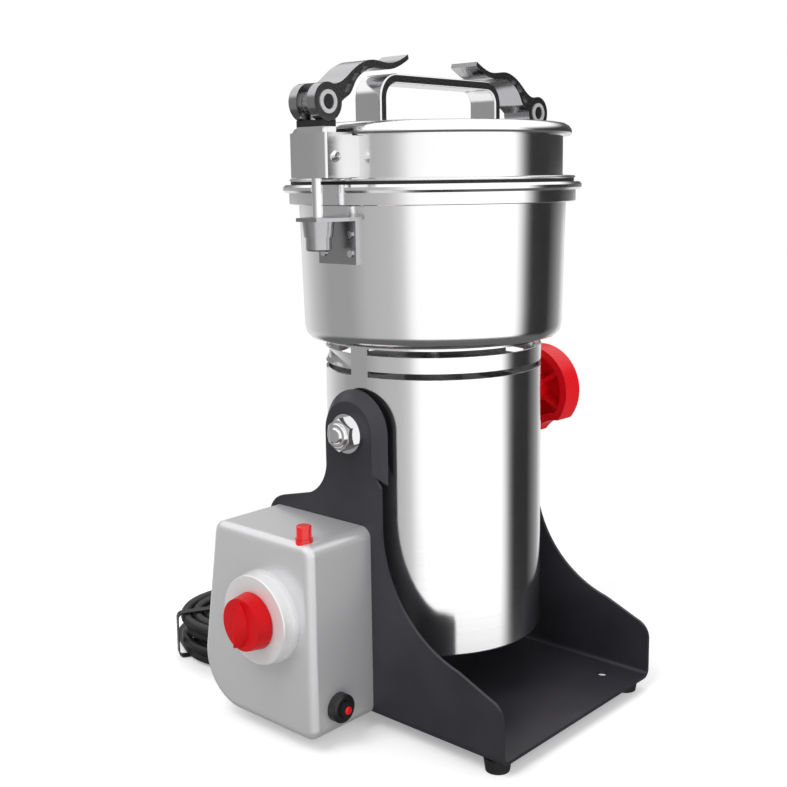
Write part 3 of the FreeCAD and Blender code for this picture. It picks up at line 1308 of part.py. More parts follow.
def cord_coil():
    points = coil_points()
    first = points[0][0]
    start = first - V(0, CORD_ENTRY, 0)
    edges = [line(start, first)]
    for (p0, t0), (p1, t1) in zip(points, points[1:]):
        edges += biarc(p0, t0, p1, t1)
    last = points[-1][0]
    edges.append(line(last, last + V(CORD_ENTRY, 0, 0)))
    shape, length = swept(edges, start, Y_AXIS)
    expected = math.pi * CORD_RADIUS ** 2 * length
    print("cord_coil length", round(length, 1), "volume ratio", round(abs(shape.Volume) / expected, 4),
          "least gap", round(self_gap(edges), 2), "valid", shape.isValid())
    return shape


def coil_end():
    return coil_points()[-1][0] + V(CORD_ENTRY, 0, 0)


def plug():
    at = coil_end()
    neck = Part.makeCone(PLUG_NECK_RADIUS - 0.6, PLUG_NECK_RADIUS + 1.4, PLUG_NECK, at, X_AXIS)
    x0 = at.x + PLUG_NECK
    half_w = PLUG_WIDTH / 2
    half_h = min(PLUG_HEIGHT / 2, at.z - 0.1)
    body = block(x0 - 1, x0 + PLUG_LENGTH, at.y - half_w, at.y + half_w, at.z - half_h, at.z + half_h)
    body = body.makeFillet(4.0, [e for e in body.Edges if e.BoundBox.XLength > 10])
    return neck.fuse(body).removeSplitter()


def plug_pins():
    at = coil_end()
    x0 = at.x + PLUG_NECK + PLUG_LENGTH
    pins = []
    for y in (-PLUG_PIN_HALF, PLUG_PIN_HALF):
        pin = cyl(PLUG_PIN_RADIUS, V(x0, at.y + y, at.z), PIN_LENGTH, X_AXIS)
        pins.append(pin.makeFillet(1.2, [e for e in pin.Edges if e.BoundBox.XMin > x0 + PIN_LENGTH - 0.1]))
    return Part.makeCompound(pins)


# The four edges that run across the cord.
def round_across(shape, radius):
    return shape.makeFillet(radius, [e for e in shape.Edges if e.BoundBox.YLength > 1])


def cord_tie():
    # A twist tie round the bundle of the coil.
    low = COIL_FLOOR_Z - CORD_RADIUS - TIE_GAP
    high = COIL_TOP_Z + CORD_RADIUS + TIE_GAP
    inner = COIL_INNER - CORD_RADIUS - 1.2 - TIE_GAP
    outer = COIL_OUTER + CORD_RADIUS + 1.2 + TIE_GAP
    half = TIE_WIDTH / 2
    grow = TIE_SHEET
    shape = round_across(block(inner - grow, outer + grow, -half, half, low - grow, high + grow), CORD_RADIUS + grow)
    shape = shape.cut(round_across(block(inner, outer, -half - 1, half + 1, low, high), CORD_RADIUS))
    shape.rotate(MILL, Z_AXIS, TIE_ANGLE)
    shape.translate(V(COIL_X, COIL_Y, 0))
    return shape


def nodes():
    lever = left_lever()
    bushes = left_bushes()
    catch = catch_bracket()
    return {
        "bracket": bracket(),
        "rubber_feet": rubber_feet(),
        "control_box": control_box(),
        "box_screws": box_screws(),
        "dial_bezel": dial_bezel(),
        "timer_switch": timer_switch(),
        "indicator_lamp": indicator_lamp(),
        "breaker_body": breaker_body(),
        "breaker_ring": breaker_ring(),
        "timer_knob": timer_knob(),
        "timer_spindle": timer_spindle(),
        "reset_button": reset_button(),
        "motor_housing": motor_housing(),
        "housing_base": housing_base(),
        "pivot_bosses": pivot_bosses(),
        "pivot_bolt": pivot_bolt(),
        "pivot_washer": pivot_washer(),
        "pivot_nut": pivot_nut(),
        "lock_stud": lock_stud(),
        "lock_knob": lock_knob(),
        "lower_end_bracket": end_bracket(LOWER_BRACKET_Z),
        "upper_end_bracket": end_bracket(UPPER_BRACKET_Z),
        "motor_bearings": motor_bearings(),
        "motor_stator": motor_stator(),
        "stator_windings": stator_windings(),
        "brush_holders": brush_holders(),
        "carbon_brushes": carbon_brushes(),
        "rotor_shaft": rotor_shaft(),
        "rotor_core": rotor_core(),
        "commutator": commutator(),
        "cooling_fan": cooling_fan(),
        "grinding_bowl": grinding_bowl(),
        "shaft_seal": shaft_seal(),
        "lower_blade": blade(LOWER_BLADE_REACH, LOWER_BLADE_Z, -3.0, 20.0),
        "upper_blade": blade(UPPER_BLADE_REACH, UPPER_BLADE_Z, 9.0, 110.0),
        "blade_spacers": blade_spacers(),
        "blade_nut": blade_nut(),
        "catch_brackets": pair_x(catch),
        "catch_rivets": catch_rivets(),
        "catch_nuts": pair_x(catch_nut()),
        "lid": lid(),
        "lid_liner": lid_liner(),
        "lid_seal": lid_seal(),
        "lid_handle": lid_handle(),
        "handle_screws": handle_screws(),
        "latch_channels": latch_channels(),
        "latch_blocks": latch_blocks(),
        "latch_screws": latch_screws(),
        "latch_pads": latch_pads(),
        "latch_rods": latch_rods(),
        "latch_pins": latch_pins(),
        "left_lever": lever,
        "left_bushes": bushes,
        "right_lever": mirrored_x(lever),
        "right_bushes": mirrored_x(bushes),
        "cord_gland": cord_gland(),
        "power_cord": power_cord(),
        "cord_coil": cord_coil(),
        "cord_tie": cord_tie(),
        "plug": plug().fuse(plug_pins()),
    }


def main():
    os.makedirs("parts", exist_ok=True)
    shift = V(ORIGIN_X, ORIGIN_Y, 0)
    for name, shape in nodes().items():
        moved = shape.translated(shift)
        moved.exportStep(os.path.join("parts", name + ".step"))
        print(name, round(moved.Volume), moved.isValid(), len(moved.Solids))


main()
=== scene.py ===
"""Electric grain mill on its tilting bracket: finishes, mains cord, studio and camera."""
import json
import math

import bpy
import numpy as np
from mathutils import Matrix, Vector


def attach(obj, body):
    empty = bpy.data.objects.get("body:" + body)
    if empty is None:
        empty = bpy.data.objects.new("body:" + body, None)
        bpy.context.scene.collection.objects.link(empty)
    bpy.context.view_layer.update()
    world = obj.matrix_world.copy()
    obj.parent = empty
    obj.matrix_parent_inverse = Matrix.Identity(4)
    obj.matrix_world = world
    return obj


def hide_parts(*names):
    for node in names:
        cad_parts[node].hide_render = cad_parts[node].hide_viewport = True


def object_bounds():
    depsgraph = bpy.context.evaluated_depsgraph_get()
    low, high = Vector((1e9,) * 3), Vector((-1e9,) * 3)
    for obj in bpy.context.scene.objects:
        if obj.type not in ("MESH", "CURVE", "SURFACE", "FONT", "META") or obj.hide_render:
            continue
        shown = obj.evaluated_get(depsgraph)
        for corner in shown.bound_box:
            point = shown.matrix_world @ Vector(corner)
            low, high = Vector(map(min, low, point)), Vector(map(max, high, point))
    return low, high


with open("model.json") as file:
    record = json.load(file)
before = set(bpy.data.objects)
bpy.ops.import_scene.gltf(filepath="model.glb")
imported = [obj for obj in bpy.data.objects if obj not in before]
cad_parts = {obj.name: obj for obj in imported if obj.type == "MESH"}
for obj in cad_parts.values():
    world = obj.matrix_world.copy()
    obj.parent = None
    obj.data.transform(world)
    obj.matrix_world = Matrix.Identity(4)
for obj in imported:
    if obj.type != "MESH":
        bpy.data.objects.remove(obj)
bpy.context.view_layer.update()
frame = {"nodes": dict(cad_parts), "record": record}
NODES = frame["nodes"]
RECORD = frame["record"]

MM = 0.001
FRAME_PIXELS = 787.0
SENSOR_WIDTH = 36.0

# Camera, from the plates, rims and box corners seen in the photograph
CAMERA_AZIMUTH = -47.72
CAMERA_ELEVATION = 9.39
CAMERA_ROLL = -0.79
CAMERA_DISTANCE = 687.64 * MM
CAMERA_TARGET = (-13.59 * MM, 13.71 * MM, 207.2 * MM)
FOCAL_PIXELS = 1144.93
CENTRE_OFFSET_PIXELS = (4.41, -25.47)

# Mains cord
CORD_RADIUS = 3.5 * MM
CORD_EXIT = (-71.55 * MM, 106.9 * MM, 28.8 * MM)
CORD_STRAIGHT = 9.0 * MM
CORD_ENTRY = 7.0 * MM
COIL_CENTRE = (-30.05 * MM, 143.9 * MM)
COIL_OUTER = 41.5 * MM
COIL_INNER = 26.5 * MM
COIL_FLOOR = 4.8 * MM
COIL_LAYER = 7.5 * MM
COIL_LAYERS = 4
COIL_TURNS = 2
COIL_CLIMB_DEG = 180.0
COIL_DIP = 1.2 * MM
COIL_STEP_DEG = 22.5
COIL_START_DEG = 90.0
COIL_END_OUT = 17.0 * MM
COIL_END_FROM_DEG = 58.0
COIL_END_SPAN_DEG = 54.0
COIL_END_RISE = 4.5 * MM
COIL_TAIL = 30.0 * MM

# Nodes whose finish differs from the rest of their slot
OWN_FINISH = {
    "lock_knob": "lock_red",
    "catch_brackets": "dull_steel",
    "catch_nuts": "dull_steel",
    "lid_handle": "satin_steel",
    "latch_channels": "sheet_steel",
    "left_bushes": "bush_silver",
    "right_bushes": "bush_silver",
    "cord_tie": "black_plastic",
}
# Levers get one metal split by face direction: painted shade on the flat sides, painted highlight on the rims
LEVERS = ("left_lever", "right_lever")
FLAT_SIDE = 0.9

# Joining the CAD nodes' loose triangles for smooth shading
JOIN_DISTANCE = 0.002 * MM
EDGE_ANGLE = math.radians(32.0)

# Depths of the surface textures
TURNING_LINES = 0.0012 * MM
METAL_GRAIN = 0.01 * MM
PAINT_PEEL = 0.06 * MM
MOULD_SKIN = 0.03 * MM
LAMP_SKIN = 0.02 * MM

# What polished metal sees: brightness by angle round the camera's line of sight, in degrees
ROOM_BANDS = [
    (-180, 0.80), (-150, 0.75), (-125, 0.50), (-104, 0.33), (-77, 0.33), (-60, 0.46), (-37, 0.50),
    (-27, 0.62), (-19, 1.00), (-8, 1.22), (72, 1.22), (79, 0.75), (85, 0.22), (91, 0.03),
    (116, 0.03), (128, 0.16), (142, 0.36), (156, 0.80), (180, 0.80),
]
# The same just above the level, where flat tops look
GLANCE_BANDS = [
    (-180, 0.22), (-130, 0.28), (-104, 0.33), (-77, 0.33), (-37, 0.50), (-19, 1.00), (72, 1.22),
    (85, 0.22), (91, 0.03), (140, 0.05), (170, 0.12), (180, 0.22),
]
ROOM_STRENGTH = 2.0
CEILING_SHADE = 0.58
GROUND_SHADE = 0.06
PLAIN_SHADE = 0.55

# Soft lamps: angle round the camera, height angle, distance, size, power
LAMPS = {
    "key": (-38.0, 48.0, 1.6, 0.9, 13.0),
    "fill": (35.0, 30.0, 1.8, 1.2, 7.0),
    "top": (170.0, 75.0, 1.6, 1.0, 7.0),
}

# Floor
FLOOR_HALF = 6.0
FLOOR_DROP = 0.2 * MM
FLOOR_GLOW = 0.30
FLOOR_FADE = [(0.22, 0.0), (0.42, 1.0)]


# Node helpers
class Wiring:
    """One material's or world's node tree, with short calls to add and join nodes."""

    def __init__(self, tree):
        self.tree = tree
        self.tree.nodes.clear()

    def add(self, kind, **settings):
        node = self.tree.nodes.new(kind)
        for name, value in settings.items():
            setattr(node, name, value)
        return node

    def join(self, source, target):
        self.tree.links.new(source, target)

    def math(self, operation, first, second=None):
        node = self.add("ShaderNodeMath", operation=operation)
        self.feed(node.inputs[0], first)
        if second is not None:
            self.feed(node.inputs[1], second)
        return node.outputs[0]

    def feed(self, socket, value):
        if isinstance(value, bpy.types.NodeSocket):
            self.join(value, socket)
        else:
            socket.default_value = value

    def ramp(self, factor, stops, ease="LINEAR"):
        """A colour ramp through (place, grey or colour) stops."""
        node = self.add("ShaderNodeValToRGB")
        node.color_ramp.interpolation = ease
        while len(node.color_ramp.elements) < len(stops):
            node.color_ramp.elements.new(1.0)
        for element, (place, colour) in zip(node.color_ramp.elements, stops):
            element.position = place
            element.color = grey(colour)
        self.feed(node.inputs[0], factor)
        return node.outputs[0]

    def blend(self, factor, first, second):
        """The first colour where the factor is 0, the second where it is 1."""
        node = self.add("ShaderNodeMix", data_type="RGBA")
        self.feed(node.inputs["Factor"], factor)
        self.feed(node.inputs[6], first)
        self.feed(node.inputs[7], second)
        return node.outputs[2]

    def bands(self, share, levels):
        """Brightness round the horizon: a ramp through (angle, level) stops over a whole turn."""
        return self.ramp(share, [((angle + 180.0) / 360.0, level / ROOM_STRENGTH) for angle, level in levels])

    def noise(self, scale, detail, stretch=(1.0, 1.0, 1.0)):
        """Noise in the object's own coordinates, so many features per metre."""
        place = self.add("ShaderNodeTexCoord")
        mapping = self.add("ShaderNodeMapping")
        mapping.inputs["Scale"].default_value = stretch
        self.join(place.outputs["Object"], mapping.inputs["Vector"])
        node = self.add("ShaderNodeTexNoise")
        node.inputs["Scale"].default_value = scale
        node.inputs["Detail"].default_value = detail
        self.join(mapping.outputs[0], node.inputs["Vector"])
        return node.outputs["Fac"]

    def bump(self, height, distance, strength):
        node = self.add("ShaderNodeBump")
        node.inputs["Distance"].default_value = distance
        node.inputs["Strength"].default_value = strength
        self.join(height, node.inputs["Height"])
        return node.outputs[0]


def grey(colour):
    """A grey level or a colour as red, green, blue and opacity."""
    if isinstance(colour, (int, float)):
        colour = (colour, colour, colour)
    return (*colour, 1.0)


def principled(name, colour, **sockets):
    """A new material with one Principled shader: (material, wiring, shader)."""
    material = bpy.data.materials.new(name)
    material.use_nodes = True
    wiring = Wiring(material.node_tree)
    shader = wiring.add("ShaderNodeBsdfPrincipled")
    output = wiring.add("ShaderNodeOutputMaterial")
    wiring.join(shader.outputs[0], output.inputs[0])
    shader.inputs["Base Color"].default_value = grey(colour)
    for socket, value in sockets.items():
        shader.inputs[socket.replace("_", " ")].default_value = value
    material.diffuse_color = grey(colour)
    return material, wiring, shader


# Finishes
def spun_steel(name, colour, low, high):
    """Polished sheet steel with faint turning lines that run round the mill's axis."""
    material, wiring, shader = principled(name, colour, Metallic=1.0)
    lines = wiring.noise(14.0, 4.0, stretch=(1.0, 1.0, 90.0))
    cloud = wiring.noise(9.0, 2.0)
    mixed = wiring.math("ADD", wiring.math("MULTIPLY", lines, 0.55), wiring.math("MULTIPLY", cloud, 0.45))
    wiring.join(wiring.ramp(mixed, [(0.3, low), (0.7, high)]), shader.inputs["Roughness"])
    wiring.join(wiring.bump(lines, TURNING_LINES, 0.25), shader.inputs["Normal"])
    return material


def grained_metal(name, colour, low, high, scale):
    """Cast or sheet metal with a fine even grain."""
    material, wiring, shader = principled(name, colour, Metallic=1.0)
    grain = wiring.noise(scale, 2.0)
    wiring.join(wiring.ramp(grain, [(0.3, low), (0.7, high)]), shader.inputs["Roughness"])
    wiring.join(wiring.bump(grain, METAL_GRAIN, 0.2), shader.inputs["Normal"])
    return material


def silver_paint(name, colour, low, high, metallic):
    """Smooth metallic paint or anodised plate: only its gloss drifts a little over the surface."""
    material, wiring, shader = principled(name, colour, Metallic=metallic)
    cloud = wiring.noise(30.0, 3.0)
    wiring.join(wiring.ramp(cloud, [(0.3, low), (0.7, high)]), shader.inputs["Roughness"])
    return material


def powder_coat(name, dark, light):
    """Baked paint with a fine orange-peel texture and a slight mottle."""
    material, wiring, shader = principled(name, dark, IOR=1.5)
    shader.inputs["Specular IOR Level"].default_value = 0.45
    peel = wiring.noise(1600.0, 2.0)
    mottle = wiring.noise(35.0, 3.0)
    wiring.join(wiring.ramp(mottle, [(0.3, dark), (0.7, light)]), shader.inputs["Base Color"])
    wiring.join(wiring.ramp(peel, [(0.3, 0.34), (0.7, 0.46)]), shader.inputs["Roughness"])
    wiring.join(wiring.bump(peel, PAINT_PEEL, 0.35), shader.inputs["Normal"])
    return material


def moulded(name, colour, deep, low, high, scale=700.0, shine=0.5):
    """Moulded plastic or rubber with a soft skin texture."""
    material, wiring, shader = principled(name, colour)
    shader.inputs["Specular IOR Level"].default_value = shine
    skin = wiring.noise(scale, 2.0)
    cloud = wiring.noise(60.0, 2.0)
    wiring.join(wiring.ramp(cloud, [(0.25, deep), (0.75, colour)]), shader.inputs["Base Color"])
    wiring.join(wiring.ramp(skin, [(0.3, low), (0.7, high)]), shader.inputs["Roughness"])
    wiring.join(wiring.bump(skin, MOULD_SKIN, 0.3), shader.inputs["Normal"])
    return material


def lamp_plastic(name):
    """Clear red lamp cap: part of the light passes, and it glows faintly inside."""
    material, wiring, shader = principled(name, (0.78, 0.004, 0.008), Roughness=0.12, IOR=1.46)
    shader.inputs["Transmission Weight"].default_value = 0.35
    shader.inputs["Coat Weight"].default_value = 0.6
    shader.inputs["Emission Color"].default_value = grey((0.9, 0.01, 0.01))
    shader.inputs["Emission Strength"].default_value = 0.12
    skin = wiring.noise(500.0, 1.0)
    wiring.join(wiring.bump(skin, LAMP_SKIN, 0.15), shader.inputs["Normal"])
    return material


def finishes():
    """Material for each finish of the mill, by name."""
    return {
        "bracket_paint": powder_coat("bracket_paint", (0.021, 0.020, 0.026), (0.029, 0.028, 0.035)),
        "rubber": moulded("rubber", (0.012, 0.012, 0.013), (0.008, 0.008, 0.009), 0.55, 0.75),
        "box_silver": silver_paint("box_silver", (0.70, 0.70, 0.71), 0.31, 0.33, 0.52),
        "bright_steel": grained_metal("bright_steel", (0.86, 0.86, 0.87), 0.08, 0.16, 500.0),
        "bezel_metal": silver_paint("bezel_metal", (0.82, 0.82, 0.825), 0.29, 0.31, 0.4),
        "black_plastic": moulded("black_plastic", (0.010, 0.010, 0.011), (0.006, 0.006, 0.007), 0.28, 0.42),
        "lamp_red": lamp_plastic("lamp_red"),
        "knob_red": moulded("knob_red", (0.58, 0.002, 0.005), (0.52, 0.002, 0.005), 0.30, 0.38, 900.0, 0.18),
        "lock_red": moulded("lock_red", (0.94, 0.006, 0.014), (0.88, 0.006, 0.014), 0.26, 0.34, 900.0, 0.3),
        "polished_steel": spun_steel("polished_steel", (0.93, 0.93, 0.935), 0.10, 0.19),
        "dull_steel": spun_steel("dull_steel", (0.46, 0.46, 0.47), 0.20, 0.28),
        # Lighter metal for the levers' rims: a painted highlight beside the darker flat sides
        "lever_rim_painted_highlight": grained_metal("lever_rim_painted_highlight", (0.44, 0.44, 0.45), 0.16, 0.24, 500.0),
        "bush_silver": silver_paint("bush_silver", (0.85, 0.85, 0.86), 0.30, 0.36, 0.5),
        "sheet_steel": spun_steel("sheet_steel", (0.82, 0.82, 0.825), 0.14, 0.22),
        "satin_steel": spun_steel("satin_steel", (0.80, 0.80, 0.805), 0.09, 0.15),
        "cast_alloy": grained_metal("cast_alloy", (0.55, 0.55, 0.56), 0.42, 0.58, 700.0),
        "core_iron": grained_metal("core_iron", (0.24, 0.24, 0.25), 0.40, 0.55, 700.0),
        "copper": grained_metal("copper", (0.78, 0.33, 0.16), 0.24, 0.36, 500.0),
        "brass": grained_metal("brass", (0.80, 0.58, 0.24), 0.22, 0.34, 600.0),
        "blade_steel": grained_metal("blade_steel", (0.74, 0.74, 0.75), 0.16, 0.28, 900.0),
        "pin_dark": grained_metal("pin_dark", (0.10, 0.10, 0.11), 0.30, 0.42, 700.0),
        # On the levers' flat sides this dark metal is painted shade, set against the lighter rims
        "lever_metal": grained_metal("lever_metal", (0.20, 0.20, 0.205), 0.24, 0.34, 1100.0),
        "cord_black": moulded("cord_black", (0.010, 0.010, 0.011), (0.007, 0.007, 0.008), 0.34, 0.48),
        "plug_black": moulded("plug_black", (0.012, 0.012, 0.013), (0.008, 0.008, 0.009), 0.36, 0.50),
    }


def paint_lever_light_and_shade(obj, rim):
    """Gives the lever's faces that don't look along its pin a lighter metal than its flat sides: painted
    highlight on the rims and painted shade on the sides of one metal.
    """
    mesh = obj.data
    facing = np.empty(len(mesh.polygons) * 3)
    mesh.polygons.foreach_get("normal", facing)
    # Faces not looking along the pin get the lighter rim metal as a painted highlight, and the flat sides
    # keep the dark metal as painted shade
    turned = (np.abs(facing.reshape(-1, 3)[:, 1]) < FLAT_SIDE).astype(np.int32)
    mesh.materials.append(rim)
    mesh.polygons.foreach_set("material_index", turned)


def dress_nodes(materials):
    """Gives every CAD node its finish, and smooth shading that keeps its real edges."""
    slots = {part["node"]: part["material_slot"] for part in RECORD["subparts"]}
    slots.update(OWN_FINISH)
    for name, obj in NODES.items():
        obj.data.materials.clear()
        obj.data.materials.append(materials[slots[name]])
        # Levers: painted shade on the flat sides and painted highlight on the rims, chosen by face direction
        if name in LEVERS:
            paint_lever_light_and_shade(obj, materials["lever_rim_painted_highlight"])
        obj.data.shade_smooth()
        weld = obj.modifiers.new("joined", "WELD")
        weld.merge_threshold = JOIN_DISTANCE
        split = obj.modifiers.new("edges", "EDGE_SPLIT")
        split.split_angle = EDGE_ANGLE
        normal = obj.modifiers.new("normals", "WEIGHTED_NORMAL")
        normal.mode = "FACE_AREA_WITH_ANGLE"
        normal.keep_sharp = True


# Mains cord
def smooth_step(share):
    """0 to 1 with level ends: three squares less two cubes of the share."""
    share = max(0.0, min(1.0, share))
    return share * share * (3.0 - 2.0 * share)


def coil_total_deg():
    """All the turns of the layers and the climbs between them, less the start's quarter turn."""
    return COIL_LAYERS * 360.0 * COIL_TURNS + (COIL_LAYERS - 1) * COIL_CLIMB_DEG - COIL_START_DEG


def coil_place(turned):
    """Point on the coil after turning clockwise by that angle from its leftmost point.

    Each layer's radius goes evenly from outside to inside or back, and each climb is half a turn.
    """
    layer_deg = 360.0 * COIL_TURNS
    top = COIL_FLOOR + (COIL_LAYERS - 1) * COIL_LAYER
    left = turned
    for layer in range(COIL_LAYERS):
        inward = layer % 2 == 0
        span = min(left, layer_deg)
        share = span / layer_deg if inward else 1.0 - span / layer_deg
        radius = COIL_OUTER + (COIL_INNER - COIL_OUTER) * share
        height = top - layer * COIL_LAYER
        left -= span
        if left <= 0 or layer == COIL_LAYERS - 1:
            break
        span = min(left, COIL_CLIMB_DEG)
        dip = math.sin(math.pi * span / COIL_CLIMB_DEG) * COIL_DIP
        radius += -dip if inward else dip
        height -= smooth_step(span / COIL_CLIMB_DEG) * COIL_LAYER
        left -= span
        if left <= 0:
            break
    past = turned - (coil_total_deg() - COIL_END_FROM_DEG)
    radius += COIL_END_OUT * smooth_step(past / COIL_END_SPAN_DEG)
    # A spline of order 3 runs inside its control points by this share of the radius
    radius /= (3.0 + math.cos(math.radians(COIL_STEP_DEG))) / 4.0
    turn = math.radians(180.0 - turned)
    return (COIL_CENTRE[0] + radius * math.cos(turn), COIL_CENTRE[1] + radius * math.sin(turn), height)


def cord_route():
    """Control points: out of the gland, up to the coil, round it, and along the floor to the plug."""
    x, y, z = CORD_EXIT
    top = COIL_FLOOR + (COIL_LAYERS - 1) * COIL_LAYER
    start = COIL_CENTRE[1] - CORD_ENTRY
    route = [
        (x, y, z),
        (x, y + CORD_STRAIGHT, z),
        (x, start - CORD_STRAIGHT, top),
        (x, start, top),
    ]
    total = coil_total_deg()
    count = int(round(total / COIL_STEP_DEG))
    route += [coil_place(total * k / count) for k in range(count + 1)]
    x, y, z = route[-1]
    high = z + COIL_END_RISE
    route += [
        (x + COIL_TAIL / 3, y, z),
        (x + COIL_TAIL * 2 / 3, y, high),
        (x + COIL_TAIL, y, high),
        (x + COIL_TAIL + CORD_ENTRY, y, high),
    ]
    return route


def mains_cord(materials):
    """The lead from the gland round its coil to the plug: a round bevel along the route's spline."""
    route = cord_route()
    data = bpy.data.curves.new("mains_cord", "CURVE")
    data.dimensions = "3D"
    data.bevel_depth = CORD_RADIUS
    data.bevel_resolution = 5
    data.resolution_u = 6
    data.use_fill_caps = True
    spline = data.splines.new("NURBS")
    spline.points.add(len(route) - 1)
    spline.points.foreach_set("co", np.hstack([np.array(route), np.ones((len(route), 1))]).ravel())
    spline.order_u = 3
    spline.use_endpoint_u = True
    cord = bpy.data.objects.new("mains_cord", data)
    bpy.context.scene.collection.objects.link(cord)
    data.materials.append(materials["cord_black"])
    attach(cord, "stand")
    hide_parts("power_cord", "cord_coil")


# Studio
def camera_axes():
    """Right, up and back directions of the camera, with its roll."""
    a = math.radians(CAMERA_AZIMUTH)
    e = math.radians(CAMERA_ELEVATION)
    r = math.radians(CAMERA_ROLL)
    back = Vector((math.sin(a) * math.cos(e), -math.cos(a) * math.cos(e), math.sin(e)))
    right = Vector((math.cos(a), math.sin(a), 0.0))
    up = back.cross(right)
    return right * math.cos(r) + up * math.sin(r), up * math.cos(r) - right * math.sin(r), back


def studio_camera():
    """A camera on the photograph's line of sight, its frame shifted as the photograph's is."""
    right, up, back = camera_axes()
    data = bpy.data.cameras.new("camera")
    data.sensor_width = SENSOR_WIDTH
    data.lens = FOCAL_PIXELS / FRAME_PIXELS * SENSOR_WIDTH
    data.shift_x = -CENTRE_OFFSET_PIXELS[0] / FRAME_PIXELS
    data.shift_y = CENTRE_OFFSET_PIXELS[1] / FRAME_PIXELS
    data.clip_start = 0.01
    camera = bpy.data.objects.new("camera", data)
    bpy.context.scene.collection.objects.link(camera)
    place = Vector(CAMERA_TARGET) + back * CAMERA_DISTANCE
    turn = Matrix((right, up, back)).transposed().to_4x4()
    camera.matrix_world = Matrix.Translation(place) @ turn
    bpy.context.scene.camera = camera


def studio_world():
    """White to the camera; to polished metal, a room of soft boxes and dark flags round the mill."""
    world = bpy.data.worlds.new("studio")
    bpy.context.scene.world = world
    # Lamp sampling can't tell a glossy ray from others, and would speckle rough metal
    world.cycles.sampling_method = "NONE"
    world.use_nodes = True
    wiring = Wiring(world.node_tree)
    way = wiring.add("ShaderNodeTexCoord").outputs["Generated"]
    a = math.radians(CAMERA_AZIMUTH)
    ahead = wiring.add("ShaderNodeVectorMath", operation="DOT_PRODUCT")
    ahead.inputs[1].default_value = (math.sin(a), -math.cos(a), 0.0)
    wiring.join(way, ahead.inputs[0])
    aside = wiring.add("ShaderNodeVectorMath", operation="DOT_PRODUCT")
    aside.inputs[1].default_value = (math.cos(a), math.sin(a), 0.0)
    wiring.join(way, aside.inputs[0])
    turn = wiring.math("ARCTAN2", aside.outputs["Value"], ahead.outputs["Value"])
    share = wiring.math("ADD", wiring.math("DIVIDE", turn, 2.0 * math.pi), 0.5)
    room = wiring.bands(share, ROOM_BANDS)
    glance = wiring.bands(share, GLANCE_BANDS)
    height = wiring.add("ShaderNodeSeparateXYZ")
    wiring.join(way, height.inputs[0])
    upper = wiring.ramp(height.outputs["Z"], [(0.30, 0.0), (0.55, 1.0)], "EASE")
    level = wiring.math("ADD", height.outputs["Z"], 0.5)
    above = wiring.ramp(level, [(0.44, 0.0), (0.52, 1.0)], "EASE")
    below = wiring.ramp(level, [(0.0, 1.0), (0.16, 0.0)], "EASE")
    walls = wiring.blend(above, room, glance)
    lower = wiring.blend(below, walls, grey(GROUND_SHADE))
    mixed = wiring.blend(upper, lower, grey(CEILING_SHADE))
    reflected = wiring.add("ShaderNodeBackground")
    reflected.inputs["Strength"].default_value = ROOM_STRENGTH
    wiring.join(mixed, reflected.inputs["Color"])
    plain = wiring.add("ShaderNodeBackground")
    plain.inputs["Color"].default_value = grey(PLAIN_SHADE)
    seen = wiring.add("ShaderNodeBackground")
    seen.inputs["Color"].default_value = grey(1.0)
    rays = wiring.add("ShaderNodeLightPath")
    metal = wiring.add("ShaderNodeMixShader")
    wiring.join(rays.outputs["Is Glossy Ray"], metal.inputs[0])
    wiring.join(plain.outputs[0], metal.inputs[1])
    wiring.join(reflected.outputs[0], metal.inputs[2])
    final = wiring.add("ShaderNodeMixShader")
    wiring.join(rays.outputs["Is Camera Ray"], final.inputs[0])
    wiring.join(metal.outputs[0], final.inputs[1])
    wiring.join(seen.outputs[0], final.inputs[2])
    output = wiring.add("ShaderNodeOutputWorld")
    wiring.join(final.outputs[0], output.inputs[0])


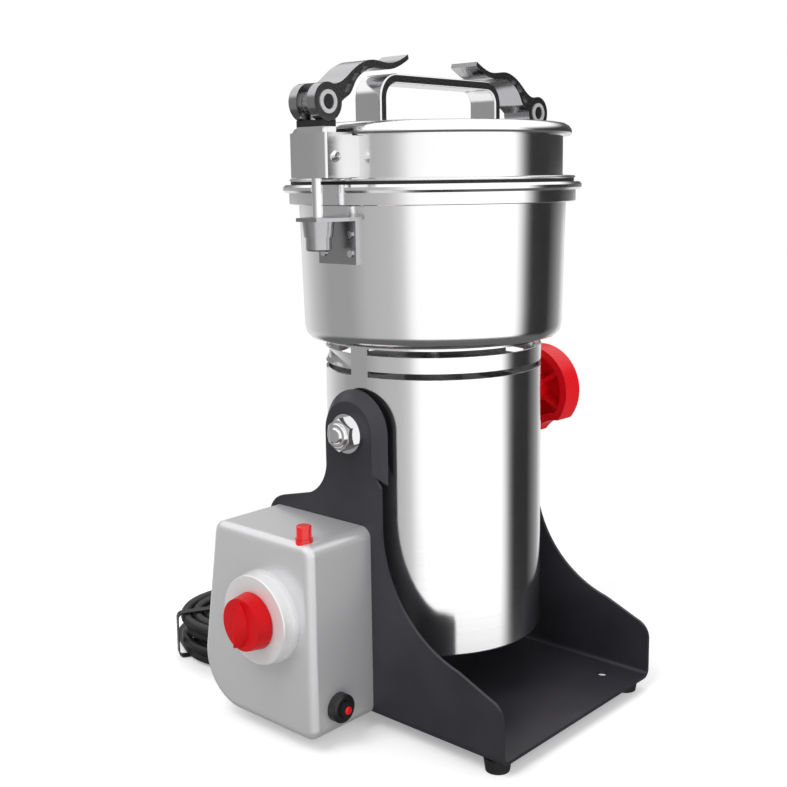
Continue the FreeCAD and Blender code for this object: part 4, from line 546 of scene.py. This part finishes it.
def studio_floor():
    """A wide pale floor that fades to white round the mill and keeps the mill's soft shadow.

    Polished metal sees the room through it, so its bands run on down to the base.
    """
    half = FLOOR_HALF
    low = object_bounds()[0][2] - FLOOR_DROP
    corners = np.array([(-half, -half, low), (half, -half, low), (half, half, low), (-half, half, low)])
    data = bpy.data.meshes.new("floor")
    data.from_pydata(corners.tolist(), [], [(0, 1, 2, 3)])
    floor = bpy.data.objects.new("floor", data)
    bpy.context.scene.collection.objects.link(floor)
    material, wiring, shader = principled("floor_white", 0.86, Roughness=0.9)
    shader.inputs["Specular IOR Level"].default_value = 0.0
    glow = wiring.add("ShaderNodeEmission")
    glow.inputs["Strength"].default_value = FLOOR_GLOW
    total = wiring.add("ShaderNodeAddShader")
    wiring.join(shader.outputs[0], total.inputs[0])
    wiring.join(glow.outputs[0], total.inputs[1])
    place = wiring.add("ShaderNodeTexCoord")
    far = wiring.add("ShaderNodeVectorMath", operation="LENGTH")
    wiring.join(place.outputs["Object"], far.inputs[0])
    fade = wiring.ramp(far.outputs["Value"], FLOOR_FADE, "EASE")
    white = wiring.add("ShaderNodeEmission")
    ground = wiring.add("ShaderNodeMixShader")
    wiring.join(fade, ground.inputs[0])
    wiring.join(total.outputs[0], ground.inputs[1])
    wiring.join(white.outputs[0], ground.inputs[2])
    rays = wiring.add("ShaderNodeLightPath")
    seen = wiring.add("ShaderNodeMixShader")
    wiring.join(rays.outputs["Is Camera Ray"], seen.inputs[0])
    wiring.join(shader.outputs[0], seen.inputs[1])
    wiring.join(ground.outputs[0], seen.inputs[2])
    output = [node for node in wiring.tree.nodes if node.type == "OUTPUT_MATERIAL"][0]
    wiring.join(seen.outputs[0], output.inputs[0])
    data.materials.append(material)
    floor.visible_glossy = False


def soft_box(name, azimuth, elevation, distance, size, power, centre):
    """An area lamp aimed at the mill from a direction round the camera, kept out of reflections."""
    a = math.radians(CAMERA_AZIMUTH + azimuth)
    e = math.radians(elevation)
    back = Vector((math.sin(a) * math.cos(e), -math.cos(a) * math.cos(e), math.sin(e)))
    data = bpy.data.lights.new(name, "AREA")
    data.size = size
    data.energy = power
    lamp = bpy.data.objects.new(name, data)
    bpy.context.scene.collection.objects.link(lamp)
    turn = back.to_track_quat("Z", "Y").to_matrix().to_4x4()
    lamp.matrix_world = Matrix.Translation(centre + back * distance) @ turn
    lamp.visible_glossy = False


def studio_lamps():
    """The soft lamps, aimed at the middle of the mill."""
    low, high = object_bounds()
    centre = (Vector(low) + Vector(high)) / 2
    for name, settings in LAMPS.items():
        soft_box(name, *settings, centre)


MATERIALS = finishes()
dress_nodes(MATERIALS)
mains_cord(MATERIALS)
studio_camera()
studio_world()
studio_lamps()
studio_floor()
bpy.context.scene.view_settings.view_transform = "Standard"
